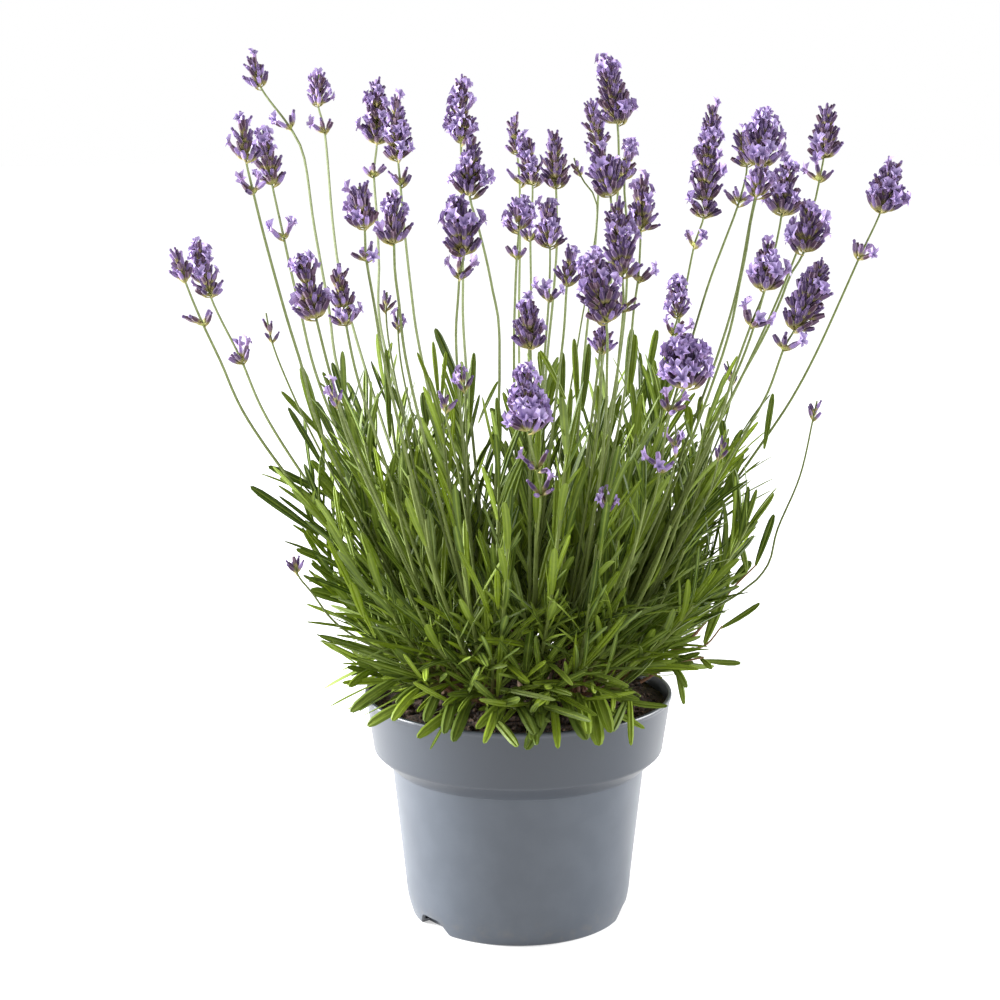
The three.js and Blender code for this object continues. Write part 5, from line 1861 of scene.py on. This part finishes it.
class Bush:
    """The leafy part of the plant: its branches with their stalks, shoots and leaves."""

    def __init__(self, pot: Pot) -> None:
        """Works out the stalks and the shoots, which keep clear of the pot.

        Args:
            pot: The pot.
        """
        self.pot = pot
        self.stalks = [Stalk(flower) for flower in SPIKES]
        self.buds = [Stalk(flower) for flower in BUDS]
        self.front = [stalk for stalk in self.stalks if stalk.flower.depth < GROWTH.bare_depth]
        self.shoots = [self.shoot(index) for index in range(GROWTH.shoots)]

    def shoot(self, index: int) -> tuple[str, int, Path]:
        """Grows one leafy shoot.

        Args:
            index: Its place in the spiral that spreads the tips evenly over the dome.

        Returns:
            The name of its branch, its index and its path.
        """
        for_reach, for_root = draws(Seed.SHOOT + index, 2)
        share = (index + 0.5) / GROWTH.shoots
        height = mixed(GROWTH.bush_low, GROWTH.bush_top, share**GROWTH.bush_rise)
        swell = smooth(GROWTH.bush_low, GROWTH.bush_full, height)
        inward = (0.1 + 0.35 * swell) * for_reach
        reach = (GROWTH.bush_foot + GROWTH.bush_swell * swell) * (1 - inward)
        turn = index * GOLDEN_ANGLE
        aside = reach * math.cos(turn) + GROWTH.bush_lean * swell
        tip = np.array([aside, reach * math.sin(turn), height])
        below = tip[:2] * 0.42
        branch = BRANCHES[int(np.argmin(np.linalg.norm(FEET - below, axis=1)))]
        root = GROWTH.stem_start(branch, tip, GROWTH.soil_crown + 4 + 10 * for_root)
        middle = root + (tip - root) * np.array([0.66, 0.66, 0.4])
        middle[2] += GROWTH.bush_arch * (1 - swell)
        return branch.name, index, Path(Arch(root, middle, tip))

    def foot(self, branch: Branch) -> Skin:
        """Builds a branch's woody foot: a gnarled stem from the soil to the fork.

        Args:
            branch: The branch.

        Returns:
            The skin: twelve rings with a knotty relief.
        """
        low, high = GROWTH.soil_crown - 8, GROWTH.soil_crown + GROWTH.fork_rise
        heights = np.linspace(low, high, 12)
        radii = np.interp(heights, [GROWTH.soil_crown + 3, high],
                          [GROWTH.foot_radius, GROWTH.fork_radius - 0.6])
        cosines, sines = np.cos(ring_angles(12)), np.sin(ring_angles(12))
        level = np.broadcast_to(heights[:, None], (12, 12))
        places = np.stack([cosines * 4 + 0 * level, sines * 4 + 0 * level, level], axis=-1)
        knots = waves(places.reshape(-1, 3) + branch.x, (9.0, 4.0), Seed.KNOTS)
        reach = radii[:, None] * (1 + 0.22 * knots.reshape(12, 12))
        plan = [branch.x + reach * cosines, branch.y + reach * sines]
        return tubes(BARK, np.stack([*plan, level], axis=-1)[None], np.zeros(12))

    def stems(self, branch: Branch) -> list[Skin]:
        """Builds a branch's stalks, shoots, twigs and small buds.

        Args:
            branch: The branch.

        Returns:
            Their skins.
        """
        skins = [self.foot(branch)]
        for stalk in self.stalks:
            if stalk.flower.branch == branch.name:
                path = Path(stalk.curve, 0, stalk.cut)
                run = (0.0, path.length / GROWTH.green_after)
                skins.append(path.stem(40, GROWTH.stalk, run, SQUARE))
        for name, _, path in self.shoots:
            if name == branch.name:
                skins.append(path.stem(18, GROWTH.leafy, (0.0, path.length / GROWTH.shaded_after)))
        for twig in TWIGS:
            if twig.branch == branch.name:
                path = Path(Route(VIEW.seen_at(twig.seen, twig.depth)))
                radii = tuple(share * twig.radius for share in GROWTH.twig)
                skins.append(path.stem(18, radii, (0.0, 0.12)))
        for number, stalk in enumerate(self.buds):
            if stalk.flower.branch == branch.name:
                skins.append(Path(stalk.curve).stem(40, GROWTH.thin, (0.6, 2.0)))
                skins.extend(self.bud(stalk, number))
        return skins

    def bud(self, stalk: Stalk, number: int) -> list[Skin]:
        """Builds a small head of a few flowers at the end of its own thin stalk.

        Args:
            stalk: Its stalk.
            number: Its place among the buds.

        Returns:
            Its skins.
        """
        foot, up = stalk.head_foot, stalk.up
        grow = partial(Florets.whorl, up=up, count=3, bloom=stalk.flower.bloom,
                       random=np.random.default_rng(Seed.BUD + number))
        low = grow(foot, start=0.5, tilt=0.6, out=0.6, size=0.8)
        high = grow(foot + up * stalk.head_length * 0.35, start=1.5, tilt=0.35, out=0.4, size=0.75)
        return Florets.together([low, high]).skins()

    def leaves(self, branch: Branch) -> list[Skin]:
        """Builds a branch's leaves, large and small.

        Args:
            branch: The branch.

        Returns:
            The skin of the large ones and of the small ones.
        """
        ways = []
        for index, stalk in enumerate(self.stalks):
            if stalk.flower.branch == branch.name:
                path = Path(stalk.curve, 0, stalk.cut)
                above = np.flatnonzero(path.points[:, 2] > GROWTH.leafy_top)
                high = path.length * (above[0] / path.steps if len(above) else 0.7)
                ways.append((path, GROWTH.leafless, high, Seed.STALK_LEAVES + index))
        ways += [(path, path.length * 0.22, path.length, Seed.SHOOT_LEAVES + index)
                 for name, index, path in self.shoots if name == branch.name]
        grown = [GROWTH.pairs(*way) for way in ways]
        small = [GROWTH.tufts(batch, way[-1]) for batch, way in zip(grown, ways)]
        large, little = self.thinned(grown), self.thinned(small)
        for sprays in SPRAYS:
            if sprays.branch == branch.name:
                large = Leaves.together([large, clear_of_pot(sprays.leaves(), self.pot)])
        return [BLADE.skin(large, LEAF), LEAFLET.skin(little, LEAF)]

    def thinned(self, batches: list[Leaves]) -> Leaves:
        """Joins batches of leaves, and drops what the photograph shows to be free of them.

        Args:
            batches: The batches.

        Returns:
            The leaves that are left.
        """
        leaves = clear_of_pot(Leaves.together(batches), self.pot)
        for gap in GAPS:
            leaves = leaves.only(gap.leaves_free(leaves))
        return unveiled(leaves, self.front)

    def build(self) -> list[bpy.types.Object]:
        """Builds each branch as leaves and stems, and each flower head as a piece.

        Returns:
            The pieces.
        """
        pieces = []
        for branch in BRANCHES:
            for part, skins in (("leaves", self.leaves(branch)), ("stems", self.stems(branch))):
                pieces.append(piece_of(f"{part}_{branch.name}", skins, Slot.LEAF,
                                       (f"branch_{branch.name}",)))
        for index, stalk in enumerate(self.stalks):
            number = f"{index + 1:02d}"
            pieces.append(piece_of(f"flowers_{number}", Head(stalk, index).build(), Slot.FLOWER,
                                   (f"spike_{number}",)))
        return pieces


@dataclass(frozen=True)
class SoftBox:
    """A square soft light, by where it stands, what it faces and how strong it is."""

    name: str
    place: tuple[float, float, float]
    power: float
    aim: tuple[float, float, float] = (0.0, 0.0, 0.2)
    size: float = 1.1

    def build(self) -> None:
        """Hangs the light."""
        data = bpy.data.lights.new(self.name, "AREA")
        data.shape = "SQUARE"
        data.size = self.size
        data.energy = self.power
        light = placed(self.name, data)
        light.location = self.place
        x, y, z = np.array(self.aim) - np.array(self.place)
        light.rotation_euler = (math.atan2(math.hypot(x, y), -z), 0.0, math.atan2(-x, y))


@dataclass(frozen=True)
class Studio:
    """The studio: a pale floor, an even pale surround and soft boxes."""

    floor_radius: float = 12.0
    floor_sides: int = 96
    surround: float = 1.0
    boxes: tuple[SoftBox, ...] = (
        SoftBox("left_box", (-2.17, 0.38, 0.62), 250.0),
        SoftBox("right_box", (2.17, 0.38, 0.62), 108.0),
    )

    def build(self) -> None:
        """Lays the floor and sets the lights."""
        angles = ring_angles(self.floor_sides)
        rim = np.stack([np.cos(angles), np.sin(angles), 0 * angles], axis=1) * self.floor_radius
        mesh = bpy.data.meshes.new("studio_floor")
        mesh.from_pydata(rim.tolist(), [], [list(range(self.floor_sides))])
        mesh.materials.append(PAPER.material())
        floor = placed("studio_floor", mesh)
        floor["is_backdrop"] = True
        world = bpy.data.worlds.new("studio_surround")
        tree = Tree(world)
        light = tree.add("ShaderNodeBackground", {"Color": "ffffff", "Strength": self.surround})
        tree.add("ShaderNodeOutputWorld", {"Surface": light.outputs[0]})
        bpy.context.scene.world = world
        for box in self.boxes:
            box.build()
        bpy.context.scene.view_settings.view_transform = "Standard"


def main() -> None:
    """Builds the camera, the studio and the plant, and logs how many pieces and triangles it has.
    """
    logging.basicConfig(level=logging.INFO, format="%(name)s: %(message)s")
    VIEW.camera()
    Studio().build()
    pot = Pot()
    pieces = [*pot.build(), *Soil().build(pot), *Bush(pot).build()]
    triangles = sum(len(piece.data.loops) - 2 * len(piece.data.polygons) for piece in pieces)
    log.info("%d pieces, %d triangles", len(pieces), triangles)
    boxes = {"cad": CAD_BOX, "visual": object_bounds()}
    sizes = {name: [list(corner) for corner in box] for name, box in boxes.items()}


if __name__ == "__main__":
    main()
